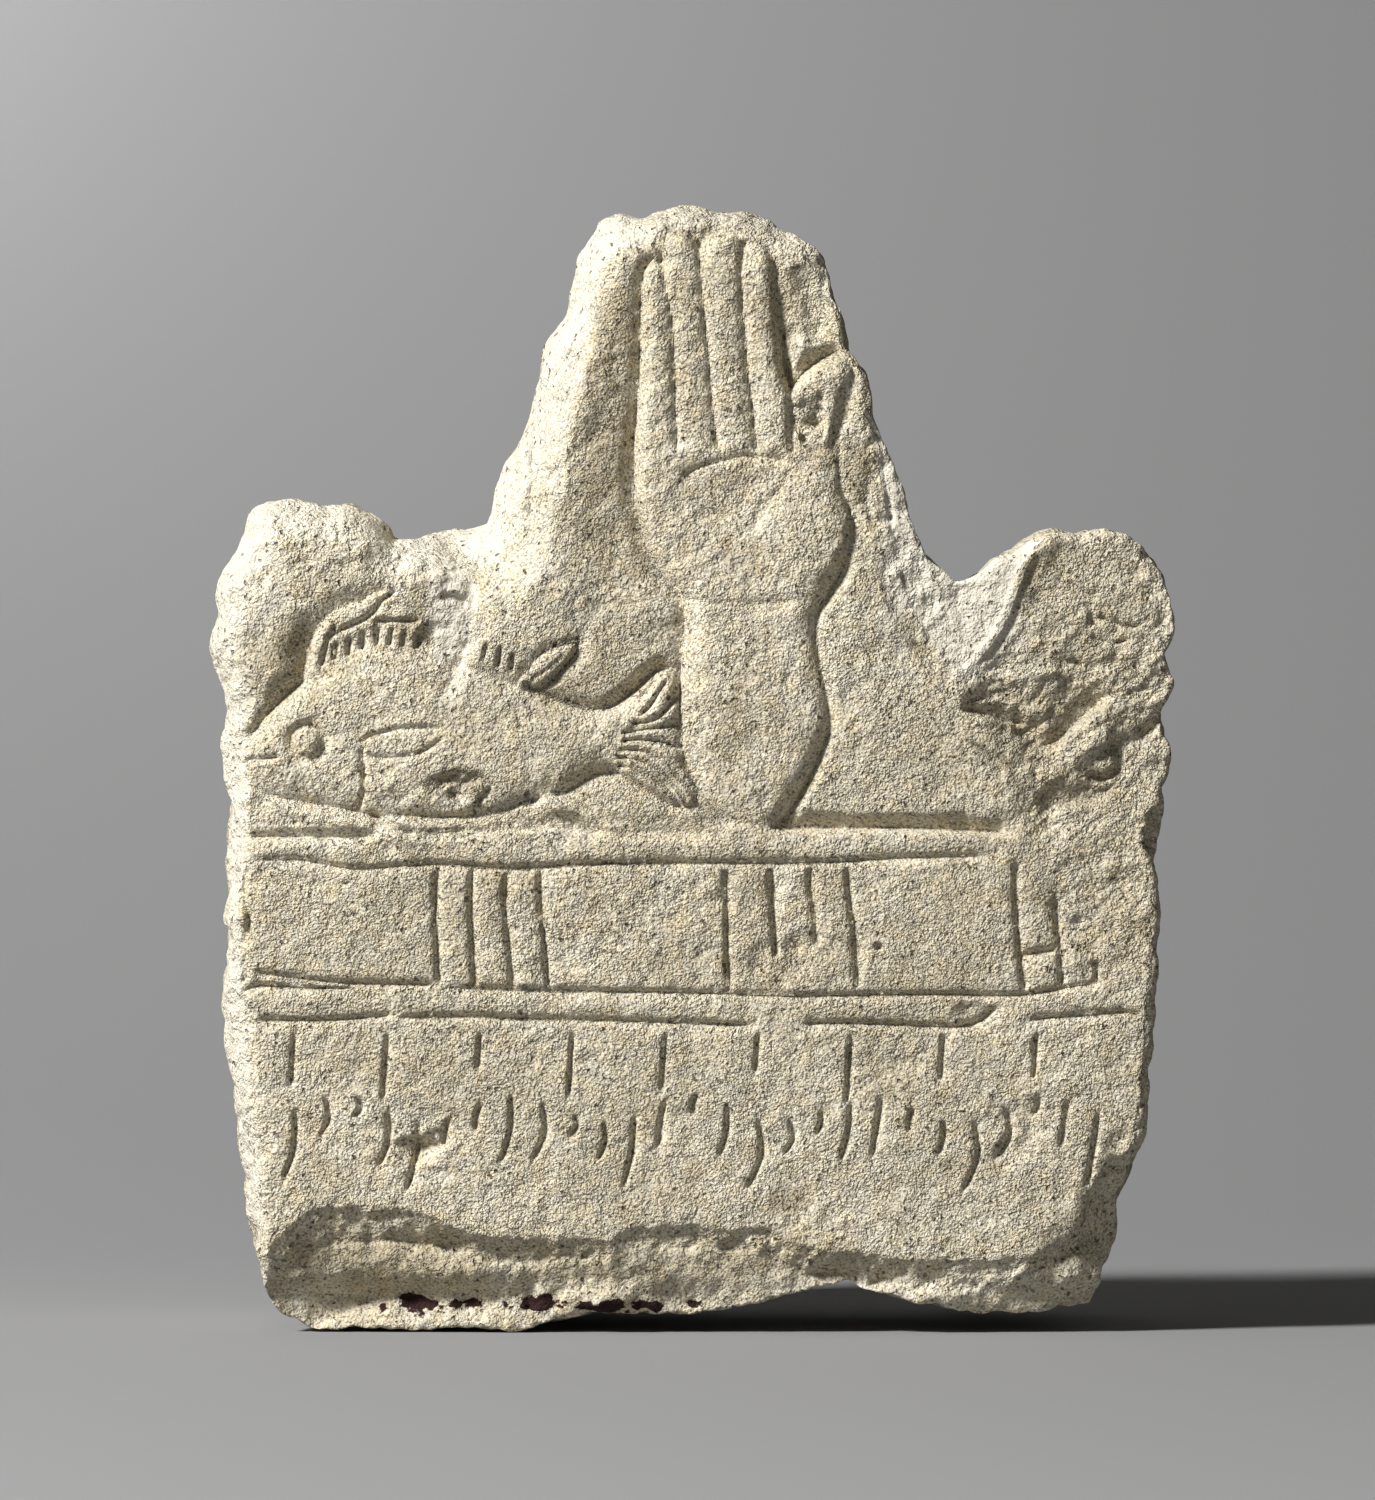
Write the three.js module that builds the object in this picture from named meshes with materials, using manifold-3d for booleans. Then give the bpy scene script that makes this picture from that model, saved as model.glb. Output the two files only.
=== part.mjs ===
// The broken top of a votive stele in fine limestone, as one solid stone. A gable stands between
// two worn shoulder knobs. Under it a raised arm with an open hand and a fish swimming to the left
// are carved in a sunk field, then comes a frieze of panels and upright bars, then a band of
// shallow strokes. The stone stands on its broken underside.
//
// Millimetres. X runs to the right of the carved face, Z up. While the stone is drawn, "depth" is
// measured back from the dressed face and "height" forward from it, towards the viewer, who looks
// along +Y. The finished stone is then centred over the origin and set down on Z = 0.

import * as THREE from "three";
import { mergeVertices } from "three/addons/utils/BufferGeometryUtils.js";
import Module from "manifold-3d";

const wasm = await Module();
wasm.setup();

// ---- Driving dimensions ----

const THICKNESS = 72; // dressed face to back
const CELLS_ACROSS = 44; // grid of the carved face
const CELLS_UP = 50;
const EVEN_HEIGHT = 150; // rows of the grid are level for a stone of this height

const FRIEZE_TOP = 83; // ledge above the frieze, where the sunk field starts
const FIELD_HEIGHT = -0.4; // the field lies a little behind the dressed face
const TROUGH_DEPTH = 3.4; // cut down round the figures
const TROUGH_WIDTH = 8;
const FIGURE_HEIGHT = 0.4; // top of the arm and the fish
const ROOT_DEPTH = 10; // how far a figure's solid is let into the block

const STONE_COLOUR = 0xc9bfa9;

// ---- Outline of the whole stone, as seen from the front: [x, z] ----

const LEFT_SIDE = [
  [-66, 2.5], [-70.5, 5.5], [-72.5, 14.5], [-74.5, 30], [-77, 48], [-76.3, 66],
  [-76.5, 84], [-77.5, 98], [-80, 114], [-78.5, 123], [-74.5, 131.5],
];
const TOP_EDGE = [
  [-74.5, 131.5], [-71, 136.5], [-64, 137.4], [-57, 137], [-50, 134], [-46, 131.2],
  [-41, 132.5], [-35, 134.5], [-32.5, 140], [-28.5, 147], [-25.5, 156], [-24.5, 162.5],
  [-20.5, 171], [-17.5, 180], [-14.5, 184], [-8, 184], [-1, 186], [9, 184.5], [17, 181],
  [22.5, 176.5], [25, 169.5], [27, 161.5], [30.3, 155], [31.5, 148], [34.8, 140.5],
  [37.3, 133], [41, 127.3], [45, 124.2], [49, 127], [55.5, 131.5], [62, 132], [68, 133],
  [74, 130.5], [78, 125],
];
const RIGHT_SIDE = [
  [66, 4.5], [68, 11], [71, 22], [74, 29.5], [76, 38.5], [76.5, 55], [77.3, 73],
  [77, 85], [78.5, 97], [77.5, 101.5], [80, 106.5], [78.5, 110.8], [80, 116], [78, 125],
];
const BOTTOM_EDGE = [
  [-66, 2.5], [-60, 0.6], [-50, 0], [-40, 0], [-30, 0], [-20, 1.8], [-8, 2.6], [5, 3.8],
  [15, 5.8], [22, 7.6], [26, 8.5], [30, 7], [37, 4], [44, 2], [52, 1.6], [60, 2.4],
  [66, 4.5],
];

// The rounded or broken edge round the dressed face: [x, z, width across the face, depth at the outline].
const EDGE_WEAR = [
  [-72, 10, 7, 10], [-76, 40, 4, 9], [-77, 75, 4, 8], [-79, 110, 6, 9], [-74, 132, 7, 10],
  [-58, 137, 7, 9], [-44, 131, 8, 10], [-34, 137, 8, 11], [-25, 158, 8, 11],
  [-17, 182, 7, 10], [0, 186, 5, 7], [20, 180, 4, 3], [28, 160, 3, 1.5], [35, 140, 3, 1.5],
  [45, 124, 4, 3], [58, 132, 4, 4], [74, 131, 3, 2.5], [79, 110, 3, 2], [77, 70, 3, 2],
  [75, 36, 4, 3], [68, 12, 5, 4], [50, 2, 6, 4], [26, 8, 5, 4], [0, 3, 6, 4], [-35, 0, 6, 4],
  [-60, 1, 6, 4],
];

// ---- Outlines of the carving ----

const ARM = [
  [11, 82.3], [6, 85], [2.5, 89.5], [-0.3, 96.5], [-1.6, 104], [-1.5, 113], [-1.3, 120],
  [-4.5, 124.5], [-8, 131], [-9, 138], [-9, 145], [-6, 147], [8, 147], [20, 146], [24.5, 142.5],
  [26.3, 135], [25.5, 127], [21.5, 120.5], [20.2, 117], [20.8, 111], [22.6, 104], [22.4, 97],
  [19.5, 90], [15.5, 84.8],
];
// The edges between the fingers, from the outer edge of the little finger to that of the first.
// Each is given by its x at the knuckles and at the tip.
const FINGER_BASE = 145;
const FINGER_EDGES = [[-9, -8], [-2.3, -4.6], [4.3, 1.2], [10.4, 8.2], [16, 13.6]];
const FINGER_TIPS = [176.2, 180.8, 180.4, 178.4];
const THUMB = [
  [16, 143], [15.6, 152], [17.2, 157], [20.5, 160.2], [24.3, 161.3], [25.4, 158], [24.6, 152],
  [23.4, 146], [24, 140], [20, 137],
];

const FISH = [
  [-74.2, 94.8], [-69.5, 102], [-63.5, 107.8], [-56, 111], [-48.5, 111.9], [-41.5, 110.8],
  [-33, 107.8], [-24.5, 105], [-16.5, 102.4], [-11, 102.5], [-6, 108.5], [-1.8, 109.4],
  [-1.6, 98], [1, 90], [-0.5, 87.2], [-6, 89.8], [-12.5, 92.6], [-18, 90.4], [-25, 88],
  [-34, 85.8], [-44, 85.2], [-55, 85.9], [-64, 87.7], [-71, 90.3],
];
const DORSAL_FIN = [
  [-63.5, 107], [-61.5, 116], [-57, 119], [-50, 118.4], [-44, 117.5], [-40, 113.5], [-40, 108],
];
const SECOND_FIN = [[-27, 106], [-24, 110.5], [-19, 114], [-18.5, 112], [-22, 107.5], [-25.5, 105]];
const SIDE_FIN = [[-54.5, 96.4], [-50, 99.3], [-44, 99.7], [-40.8, 98.4], [-44, 96], [-50, 94.9]];
const EYE = { x: -63.2, z: 97.2, radius: 2.6 };

// ---- Frieze and strokes ----

const CUT_WIDTH = 1.9;
const CUT_DEPTH = 0.9;
const FRIEZE_LEVELS = [
  { z: 77.6, from: -71, to: 49 }, // under the upper band
  { z: 56.6, from: -73, to: 67 }, // over the lower band
  { z: 51.8, from: -70, to: 72 }, // under the lower band
];
// Upright cuts that part the panels and their bars: [x at the top, x at the bottom, top z].
const UPRIGHTS = [
  [-73.2, -73.7, 75], [-41.5, -41.5, 77.5], [-36.3, -35.4, 77], [-30.6, -29, 77],
  [-24.6, -23.4, 77], [5.4, 6.4, 77.5], [13.2, 14, 77], [19.6, 20.4, 77], [25.6, 27.4, 77.5],
  [53.5, 54.4, 77.5], [59.8, 61.2, 71], [66.5, 67, 63.5],
];
// The strokes stand in two loose rows: a tall one hanging from the band and a low one under it.
const STROKE_WIDTH = 1.3;
const STROKE_DEPTH = 0.6;
const STROKES_FROM = -66;
const STROKES_TO = 68;
const TALL_STROKES = 9;
const LOW_STROKES = 15;

// The front of the right shoulder has split off behind the face, right of this line.
const SPLIT_EDGE = [
  [60, 130], [51, 120], [44.8, 110], [45, 103], [51, 94], [53, 88], [50, 82], [56, 77],
  [66, 72], [76, 70],
];
const SPLIT_DEPTH = 5;

// Below this line the front of the foot has broken away: steeply first, then more gently.
const BREAK_EDGE = [
  [-82, 12], [-70, 14], [-64, 20], [-55, 21.2], [-40, 18.2], [-31, 16.4], [-14, 15.6], [-6, 18],
  [12, 17], [17, 14.8], [34, 12.6], [51, 12.1], [59, 14], [64, 18], [66, 24], [71, 31], [82, 35],
];
const BREAK_STEEP = { slope: 0.7, reach: 5 };
const BREAK_GENTLE = { slope: 0.22 };

// ---- Small helpers ----

const clamp01 = (t) => Math.min(1, Math.max(0, t));
const smooth = (from, to, value) => {
  const t = clamp01((value - from) / (to - from));
  return t * t * (3 - 2 * t);
};

// Points spaced evenly along a smooth curve through the given ones.
function curveThrough(points, count, closed = false) {
  const knots = points.map(([x, z]) => new THREE.Vector3(x, 0, z));
  const curve = new THREE.CatmullRomCurve3(knots, closed, "centripetal");
  curve.arcLengthDivisions = 1000;
  return curve.getSpacedPoints(count).map((p) => [p.x, p.z]);
}

// Distance from a point to a polyline, and on which side of it the point lies.
function nearestOn(line, x, z) {
  let best = { distance: Infinity, side: 1 };
  for (let i = 0; i + 1 < line.length; i++) {
    const [ax, az] = line[i];
    const [bx, bz] = line[i + 1];
    const along = [bx - ax, bz - az];
    const t = clamp01(((x - ax) * along[0] + (z - az) * along[1]) / (along[0] ** 2 + along[1] ** 2));
    const away = [x - ax - t * along[0], z - az - t * along[1]];
    const distance = Math.hypot(...away);
    if (distance < best.distance)
      best = { distance, side: Math.sign(along[0] * away[1] - along[1] * away[0]) || 1 };
  }
  return best;
}

function isInside(ring, x, z) {
  let inside = false;
  for (let i = 0, j = ring.length - 1; i < ring.length; j = i++) {
    const [ax, az] = ring[i];
    const [bx, bz] = ring[j];
    if (az > z !== bz > z && x < ((bx - ax) * (z - az)) / (bz - az) + ax) inside = !inside;
  }
  return inside;
}

// Distance outside a closed ring, and 0 inside it.
function outsideOf(ring, x, z) {
  return isInside(ring, x, z) ? 0 : nearestOn([...ring, ring[0]], x, z).distance;
}

// A closed mesh as a solid. Shared corners are merged first.
function solidFrom(geometry) {
  const bare = geometry.clone();
  bare.deleteAttribute("normal");
  bare.deleteAttribute("uv");
  const merged = mergeVertices(bare, 1e-4);
  return new wasm.Manifold(
    new wasm.Mesh({
      numProp: 3,
      vertProperties: merged.attributes.position.array,
      triVerts: new Uint32Array(merged.index.array),
    }),
  );
}

function geometryFrom(solid) {
  const mesh = solid.getMesh();
  const geometry = new THREE.BufferGeometry();
  geometry.setAttribute("position", new THREE.BufferAttribute(mesh.vertProperties, 3));
  geometry.setIndex(new THREE.BufferAttribute(mesh.triVerts, 1));
  return geometry;
}

// ---- The block: front sheet, sides and back ----

const outline = {
  left: curveThrough(LEFT_SIDE, CELLS_UP),
  right: curveThrough(RIGHT_SIDE, CELLS_UP),
  top: curveThrough(TOP_EDGE, 400),
  bottom: curveThrough(BOTTOM_EDGE, CELLS_ACROSS),
};
const fingers = FINGER_TIPS.map((tip, i) => fingerOutline(i, tip));
const armRing = curveThrough(ARM, 60, true);
const thumbRing = curveThrough(THUMB, 30, true);
const fishRing = curveThrough(FISH, 72, true);
const figureRings = [armRing, thumbRing, fishRing, DORSAL_FIN, SECOND_FIN, ...fingers];

// A column's top end: half of the columns' spacing follows the length of the edge, half its width.
const topEnds = (() => {
  const measure = [0];
  for (let i = 1; i < outline.top.length; i++) {
    const across = outline.top[i][0] - outline.top[i - 1][0];
    const rise = outline.top[i][1] - outline.top[i - 1][1];
    measure.push(measure[i - 1] + Math.abs(across) + 0.35 * Math.hypot(across, rise));
  }
  return Array.from({ length: CELLS_ACROSS + 1 }, (_, column) => {
    const wanted = (column / CELLS_ACROSS) * measure.at(-1);
    const i = Math.max(1, measure.findIndex((m) => m >= wanted - 1e-9));
    const t = (wanted - measure[i - 1]) / (measure[i] - measure[i - 1]);
    return [0, 1].map((k) => outline.top[i - 1][k] * (1 - t) + outline.top[i][k] * t);
  });
})();

// Where a crossing of the grid lies: rows level in the middle, following the edges near them.
function gridPoint(column, row) {
  const u = column / CELLS_ACROSS;
  const v = row / CELLS_UP;
  const [topX, topZ] = topEnds[column];
  const [bottomX, bottomZ] = outline.bottom[column];
  const x0 = outline.left[row][0] * (1 - u) + outline.right[row][0] * u;
  const evenTop = outline.left.at(-1)[0] * (1 - u) + outline.right.at(-1)[0] * u;
  const evenBottom = outline.left[0][0] * (1 - u) + outline.right[0][0] * u;
  const x = x0 + v ** 3 * (topX - evenTop) + (1 - v) ** 3 * (bottomX - evenBottom);
  const z = v * EVEN_HEIGHT + v ** 2 * (topZ - EVEN_HEIGHT) + (1 - v) ** 2 * bottomZ;
  if (column === 0) return outline.left[row];
  if (column === CELLS_ACROSS) return outline.right[row];
  return [x, z];
}

const grid = Array.from({ length: CELLS_UP + 1 }, (_, row) =>
  Array.from({ length: CELLS_ACROSS + 1 }, (_, column) => gridPoint(column, row)),
);
// The border of the grid, anticlockwise as seen from the front.
const border = [
  ...grid[0].map((_, c) => [c, 0]),
  ...grid.slice(1).map((_, r) => [CELLS_ACROSS, r + 1]),
  ...grid[0].slice(1).map((_, c) => [CELLS_ACROSS - 1 - c, CELLS_UP]),
  ...grid.slice(1, -1).map((_, r) => [0, CELLS_UP - 1 - r]),
];
const borderRing = border.map(([c, r]) => grid[r][c]);

// Edge width and depth near a point, blended from the listed places.
function edgeWearAt(x, z) {
  let total = 0;
  const sum = [0, 0];
  for (const [px, pz, width, depth] of EDGE_WEAR) {
    const weight = 1 / (((x - px) ** 2 + (z - pz) ** 2) ** 2 + 1);
    total += weight;
    sum[0] += weight * width;
    sum[1] += weight * depth;
  }
  return { width: sum[0] / total, depth: sum[1] / total };
}

// How far the stone's surface falls back at its worn and broken edges.
function edgeFall(x, z) {
  const { distance } = nearestOn([...borderRing, borderRing[0]], x, z);
  const { width, depth } = edgeWearAt(x, z);
  return depth * clamp01(1 - distance / width) ** 1.5;
}

// The split right shoulder: a rough plane that drops away behind the face.
function splitFall(x, z) {
  const { distance, side } = nearestOn(SPLIT_EDGE, x, z);
  if (side < 0 || x < 40) return 0;
  const rough = Math.sin(x * 0.45 + z * 0.2) * Math.sin(z * 0.33 - x * 0.1);
  const lower = smooth(70, 92, z);
  return (SPLIT_DEPTH * (0.25 + 0.75 * lower) + 0.9 * rough * lower) * smooth(0, 9, distance);
}

// The broken front of the foot.
function breakFall(x, z) {
  const i = Math.max(1, BREAK_EDGE.findIndex(([px]) => px >= x));
  const [[ax, az], [bx, bz]] = [BREAK_EDGE[i - 1], BREAK_EDGE[i]];
  const below = Math.max(0, az + ((bz - az) * (x - ax)) / (bx - ax) - z);
  const { slope, reach } = BREAK_STEEP;
  return slope * Math.min(below, reach) + BREAK_GENTLE.slope * Math.max(0, below - reach);
}

// The height of the dressed face, the sunk field and the trough round the figures.
function groundHeight(x, z) {
  const sunk = smooth(FRIEZE_TOP - 0.5, FRIEZE_TOP + 1.5, z);
  const away = Math.min(...figureRings.map((ring) => outsideOf(ring, x, z)));
  const trough = TROUGH_DEPTH * (1 - smooth(0, TROUGH_WIDTH, away));
  return sunk * (FIELD_HEIGHT - trough);
}

// The underside rests at depths where it comes down to Z = 0: all along the left, further back on the right.
function undersideLift(x, z, depth) {
  const rightRest = smooth(38, 46, x) * smooth(24, 36, depth);
  return z * (1 - rightRest);
}

function block() {
  const positions = [];
  const triangles = [];
  const add = (x, depth, z) => positions.push(x, depth, z) / 3 - 1;
  const front = grid.map((row) =>
    row.map(([x, z]) => add(x, edgeFall(x, z) + splitFall(x, z) + breakFall(x, z) - groundHeight(x, z), z)),
  );
  for (let r = 0; r < CELLS_UP; r++)
    for (let c = 0; c < CELLS_ACROSS; c++) {
      const [a, b, d, e] = [front[r][c], front[r][c + 1], front[r + 1][c + 1], front[r + 1][c]];
      triangles.push(a, b, d, a, d, e);
    }

  // Loops that carry the border back to the rounded edge of the back face.
  let loop = border.map(([c, r]) => front[r][c]);
  const middle = [0, 70];
  const steps = [
    { back: 0.36, shrink: 0.003 }, { back: 0.54, shrink: 0.008 }, { back: 0.8, shrink: 0.02 },
    { back: 0.94, shrink: 0.045 }, { back: 1, shrink: 0.09 },
  ];
  const count = border.length;
  for (const { back, shrink } of steps) {
    const next = borderRing.map(([x, z], i) => {
      const start = positions[3 * loop[i] + 1];
      const depth = steps[0].back === back ? start + (THICKNESS - start) * back : THICKNESS * back;
      const isUnder = border[i][1] === 0;
      const px = middle[0] + (x - middle[0]) * (1 - shrink);
      const pz = middle[1] + (z - middle[1]) * (1 - shrink);
      const flat = back < 0.9 ? undersideLift(px, z, depth) : pz;
      return add(px, Math.max(depth, start + 1), isUnder ? flat : pz);
    });
    for (let i = 0; i < count; i++) {
      const j = (i + 1) % count;
      triangles.push(loop[i], next[i], loop[j], loop[j], next[i], next[j]);
    }
    loop = next;
  }
  const flatRing = loop.map((k) => new THREE.Vector2(positions[3 * k], positions[3 * k + 2]));
  for (const [a, b, c] of THREE.ShapeUtils.triangulateShape(flatRing, []))
    triangles.push(loop[a], loop[c], loop[b]);

  const geometry = new THREE.BufferGeometry();
  geometry.setAttribute("position", new THREE.Float32BufferAttribute(positions, 3));
  geometry.setIndex(triangles);
  return solidFrom(geometry);
}

// ---- The raised figures ----

// A solid with this outline and a rounded rim, let into the block, its top at the given height.
function raised(ring, height, rim) {
  const shape = new THREE.Shape(ring.map(([x, z]) => new THREE.Vector2(x, z)));
  const geometry = new THREE.ExtrudeGeometry(shape, {
    depth: ROOT_DEPTH,
    bevelEnabled: true,
    bevelThickness: rim,
    bevelSize: rim,
    bevelOffset: -rim,
    bevelSegments: 2,
    curveSegments: 1,
  });
  geometry.rotateX(Math.PI / 2); // the outline's y becomes Z and the extrusion comes forward
  geometry.translate(0, ROOT_DEPTH - height + rim, 0);
  return solidFrom(geometry);
}

// One finger between two of the edges, with a round tip.
function fingerOutline(i, tip) {
  const [leftBase, leftTip] = FINGER_EDGES[i];
  const [rightBase, rightTip] = FINGER_EDGES[i + 1];
  const radius = (rightTip - leftTip) / 2;
  const gap = 0.35;
  const ring = [[leftBase + gap, FINGER_BASE - 2], [rightBase - gap, FINGER_BASE - 2]];
  const turns = 6;
  for (let k = 0; k <= turns; k++) {
    const angle = (Math.PI * k) / turns;
    const x = (leftTip + rightTip) / 2 + (radius - gap) * Math.cos(angle);
    ring.push([x, tip - radius + (radius - gap) * Math.sin(angle)]);
  }
  return ring;
}

function figures() {
  const eye = new THREE.SphereGeometry(EYE.radius, 12, 8);
  eye.translate(EYE.x, 1.6, EYE.z);
  return [
    raised(armRing, FIGURE_HEIGHT, 1.6),
    raised(thumbRing, FIGURE_HEIGHT + 0.2, 1.1),
    ...fingers.map((ring) => raised(ring, FIGURE_HEIGHT - 0.1, 1.1)),
    raised(fishRing, FIGURE_HEIGHT, 1.6),
    raised(DORSAL_FIN, -1.4, 0.5),
    raised(SECOND_FIN, -0.8, 0.4),
    raised(curveThrough(SIDE_FIN, 20, true), FIGURE_HEIGHT + 0.5, 0.5),
    solidFrom(eye),
  ];
}

// ---- The cuts ----

// A V-shaped cutter along a line of points on the face.
function cutter(line, width, depth) {
  const above = 1.5;
  const half = (width / 2) * (1 + above / depth);
  const positions = [];
  const triangles = [];
  line.forEach(([x, z], i) => {
    const [ax, az] = line[Math.max(0, i - 1)];
    const [bx, bz] = line[Math.min(line.length - 1, i + 1)];
    const length = Math.hypot(bx - ax, bz - az);
    const across = [(-(bz - az) / length) * half, ((bx - ax) / length) * half];
    positions.push(x + across[0], -above, z + across[1]);
    positions.push(x - across[0], -above, z - across[1]);
    positions.push(x, depth, z);
  });
  const last = 3 * (line.length - 1);
  triangles.push(0, 1, 2, last, last + 2, last + 1);
  for (let i = 0; i < last; i += 3)
    for (const [p, q] of [[0, 2], [2, 1], [1, 0]])
      triangles.push(i + p, i + q, i + 3 + q, i + p, i + 3 + q, i + 3 + p);
  const geometry = new THREE.BufferGeometry();
  geometry.setAttribute("position", new THREE.Float32BufferAttribute(positions, 3));
  geometry.setIndex(triangles);
  const solid = solidFrom(geometry);
  if (solid.volume() > 0) return solid;
  geometry.setIndex(triangles.toReversed());
  return solidFrom(geometry);
}

function friezeCuts() {
  const lowest = FRIEZE_LEVELS[1].z;
  return [
    ...FRIEZE_LEVELS.map(({ z, from, to }) => cutter([[from, z], [to, z]], CUT_WIDTH, CUT_DEPTH)),
    ...UPRIGHTS.map(([topX, bottomX, topZ]) =>
      cutter([[topX, topZ], [bottomX, lowest]], CUT_WIDTH, CUT_DEPTH),
    ),
  ];
}

function strokeCuts() {
  const cuts = [];
  for (let i = 0; i < TALL_STROKES; i++) {
    const x = STROKES_FROM + ((STROKES_TO - STROKES_FROM) * (i + 0.2)) / TALL_STROKES;
    const length = 9 + 3 * Math.sin(2.3 * i);
    cuts.push(cutter([[x, 49.5], [x - 0.06 * length, 49.5 - length]], STROKE_WIDTH, STROKE_DEPTH));
  }
  for (let i = 0; i < LOW_STROKES; i++) {
    const x = STROKES_FROM + ((STROKES_TO - STROKES_FROM) * (i + 0.6)) / LOW_STROKES;
    const length = 9 + 3 * Math.cos(1.7 * i);
    const top = 36 + 1.2 * Math.sin(1.1 * i);
    const bow = 0.8 * Math.sin(0.9 * i);
    const line = [[x, top], [x + bow, top - length / 2], [x - 0.12 * length, top - length]];
    cuts.push(cutter(line, STROKE_WIDTH, STROKE_DEPTH));
  }
  return cuts;
}

// The grooves at the gill, under the fingers and at the wrist.
function figureCuts() {
  return [
    cutter([[-54, 97.5], [-54.2, 92], [-55, 86.5]], 1.6, 0.8),
    cutter([[-73.5, 93.6], [-67.5, 94.6]], 1.2, 0.8),
    cutter([[-1.5, 140.6], [6, 142.6], [16, 143.6]], 2, 0.9),
    cutter([[-0.5, 120.8], [19.5, 119.6]], 1.6, 0.4),
  ];
}

// ---- The finished stone ----

const carved = wasm.Manifold.union([block(), ...figures()])
  .subtract(wasm.Manifold.union([...friezeCuts(), ...strokeCuts(), ...figureCuts()]));
const aboveFloor = new THREE.BoxGeometry(400, 400, 400).translate(0, 0, 200);
const stone = geometryFrom(carved.intersect(solidFrom(aboveFloor)));
stone.computeBoundingBox();
const { min, max } = stone.boundingBox;
stone.translate(-(min.x + max.x) / 2, -(min.y + max.y) / 2, -min.z);
stone.computeVertexNormals();

const limestone = new THREE.MeshStandardMaterial({
  color: STONE_COLOUR,
  roughness: 0.95,
  metalness: 0,
});
const stele = new THREE.Mesh(stone, limestone);
stele.name = "stele";

const part = new THREE.Group();
part.add(stele);
export default part;
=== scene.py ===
import math

import bpy
import numpy as np
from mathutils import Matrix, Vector


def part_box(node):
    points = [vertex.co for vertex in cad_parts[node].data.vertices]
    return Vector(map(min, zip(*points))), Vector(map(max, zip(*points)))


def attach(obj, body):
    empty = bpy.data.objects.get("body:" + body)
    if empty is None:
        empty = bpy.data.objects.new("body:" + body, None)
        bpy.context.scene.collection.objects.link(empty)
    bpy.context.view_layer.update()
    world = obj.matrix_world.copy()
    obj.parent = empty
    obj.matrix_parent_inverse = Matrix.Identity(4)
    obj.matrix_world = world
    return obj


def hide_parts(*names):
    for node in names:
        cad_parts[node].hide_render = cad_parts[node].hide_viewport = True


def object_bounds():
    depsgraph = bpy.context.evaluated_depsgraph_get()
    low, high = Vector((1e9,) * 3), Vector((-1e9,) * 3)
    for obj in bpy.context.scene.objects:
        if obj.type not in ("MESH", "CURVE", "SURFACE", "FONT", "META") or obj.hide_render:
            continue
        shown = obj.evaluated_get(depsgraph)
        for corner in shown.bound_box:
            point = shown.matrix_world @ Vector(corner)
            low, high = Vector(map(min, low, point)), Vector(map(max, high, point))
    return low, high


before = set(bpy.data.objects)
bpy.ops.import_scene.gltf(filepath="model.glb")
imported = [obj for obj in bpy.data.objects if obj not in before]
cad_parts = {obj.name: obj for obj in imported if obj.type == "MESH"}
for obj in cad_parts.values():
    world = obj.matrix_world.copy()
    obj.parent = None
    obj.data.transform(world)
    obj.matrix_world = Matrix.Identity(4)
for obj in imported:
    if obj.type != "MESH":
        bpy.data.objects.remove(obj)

cad_low, cad_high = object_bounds()

# ---- Camera ----
# Straight on and level, with a long lens.
camera_distance = 1.5
view_height = 0.246
sensor_size = 36
camera_data = bpy.data.cameras.new("camera")
camera = bpy.data.objects.new("camera", camera_data)
bpy.context.scene.collection.objects.link(camera)
bpy.context.scene.camera = camera
camera_data.lens = sensor_size * camera_distance / view_height
camera_data.sensor_width = sensor_size
camera_data.clip_start = 0.1
camera_data.clip_end = 20
camera.location = (-0.0005, cad_low.y - camera_distance, 0.0959)
camera.rotation_euler = (math.radians(90), 0, 0)

# ---- Light and floor ----
# A crisp key panel high on the left rakes across the face. A broad weak panel and a dim world fill
# the shadows, and a small one grades the backdrop. The floor and the wall are one pale sweep.
stone_middle = Vector((0, 0, 0.09))
wall_spot = Vector((-0.24, 1.4, 0.34))
key_data = bpy.data.lights.new("key", "AREA")
key_data.shape = "SQUARE"
key_data.size = 0.34
key_data.energy = 82
key = bpy.data.objects.new("key", key_data)
key.location = (-1.32, -0.88, 1.3)
key.rotation_euler = (stone_middle - key.location).to_track_quat("-Z", "Y").to_euler()
bpy.context.scene.collection.objects.link(key)

fill_data = bpy.data.lights.new("fill", "AREA")
fill_data.shape = "RECTANGLE"
fill_data.size = 1.6
fill_data.size_y = 1.2
fill_data.energy = 1.3
fill = bpy.data.objects.new("fill", fill_data)
fill.location = (1.3, -1.9, 0.8)
fill.rotation_euler = (stone_middle - fill.location).to_track_quat("-Z", "Y").to_euler()
bpy.context.scene.collection.objects.link(fill)

backdrop_data = bpy.data.lights.new("backdrop", "AREA")
backdrop_data.shape = "SQUARE"
backdrop_data.size = 0.3
backdrop_data.energy = 4.4
backdrop = bpy.data.objects.new("backdrop", backdrop_data)
backdrop.location = (-0.55, 0.95, 0.55)
backdrop.rotation_euler = (wall_spot - backdrop.location).to_track_quat("-Z", "Y").to_euler()
bpy.context.scene.collection.objects.link(backdrop)

world = bpy.data.worlds.new("world")
bpy.context.scene.world = world
world.use_nodes = True
world.node_tree.nodes["Background"].inputs["Color"].default_value = (0.86, 0.82, 0.76, 1)
world.node_tree.nodes["Background"].inputs["Strength"].default_value = 0.055
bpy.context.scene.view_settings.view_transform = "Standard"

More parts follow.
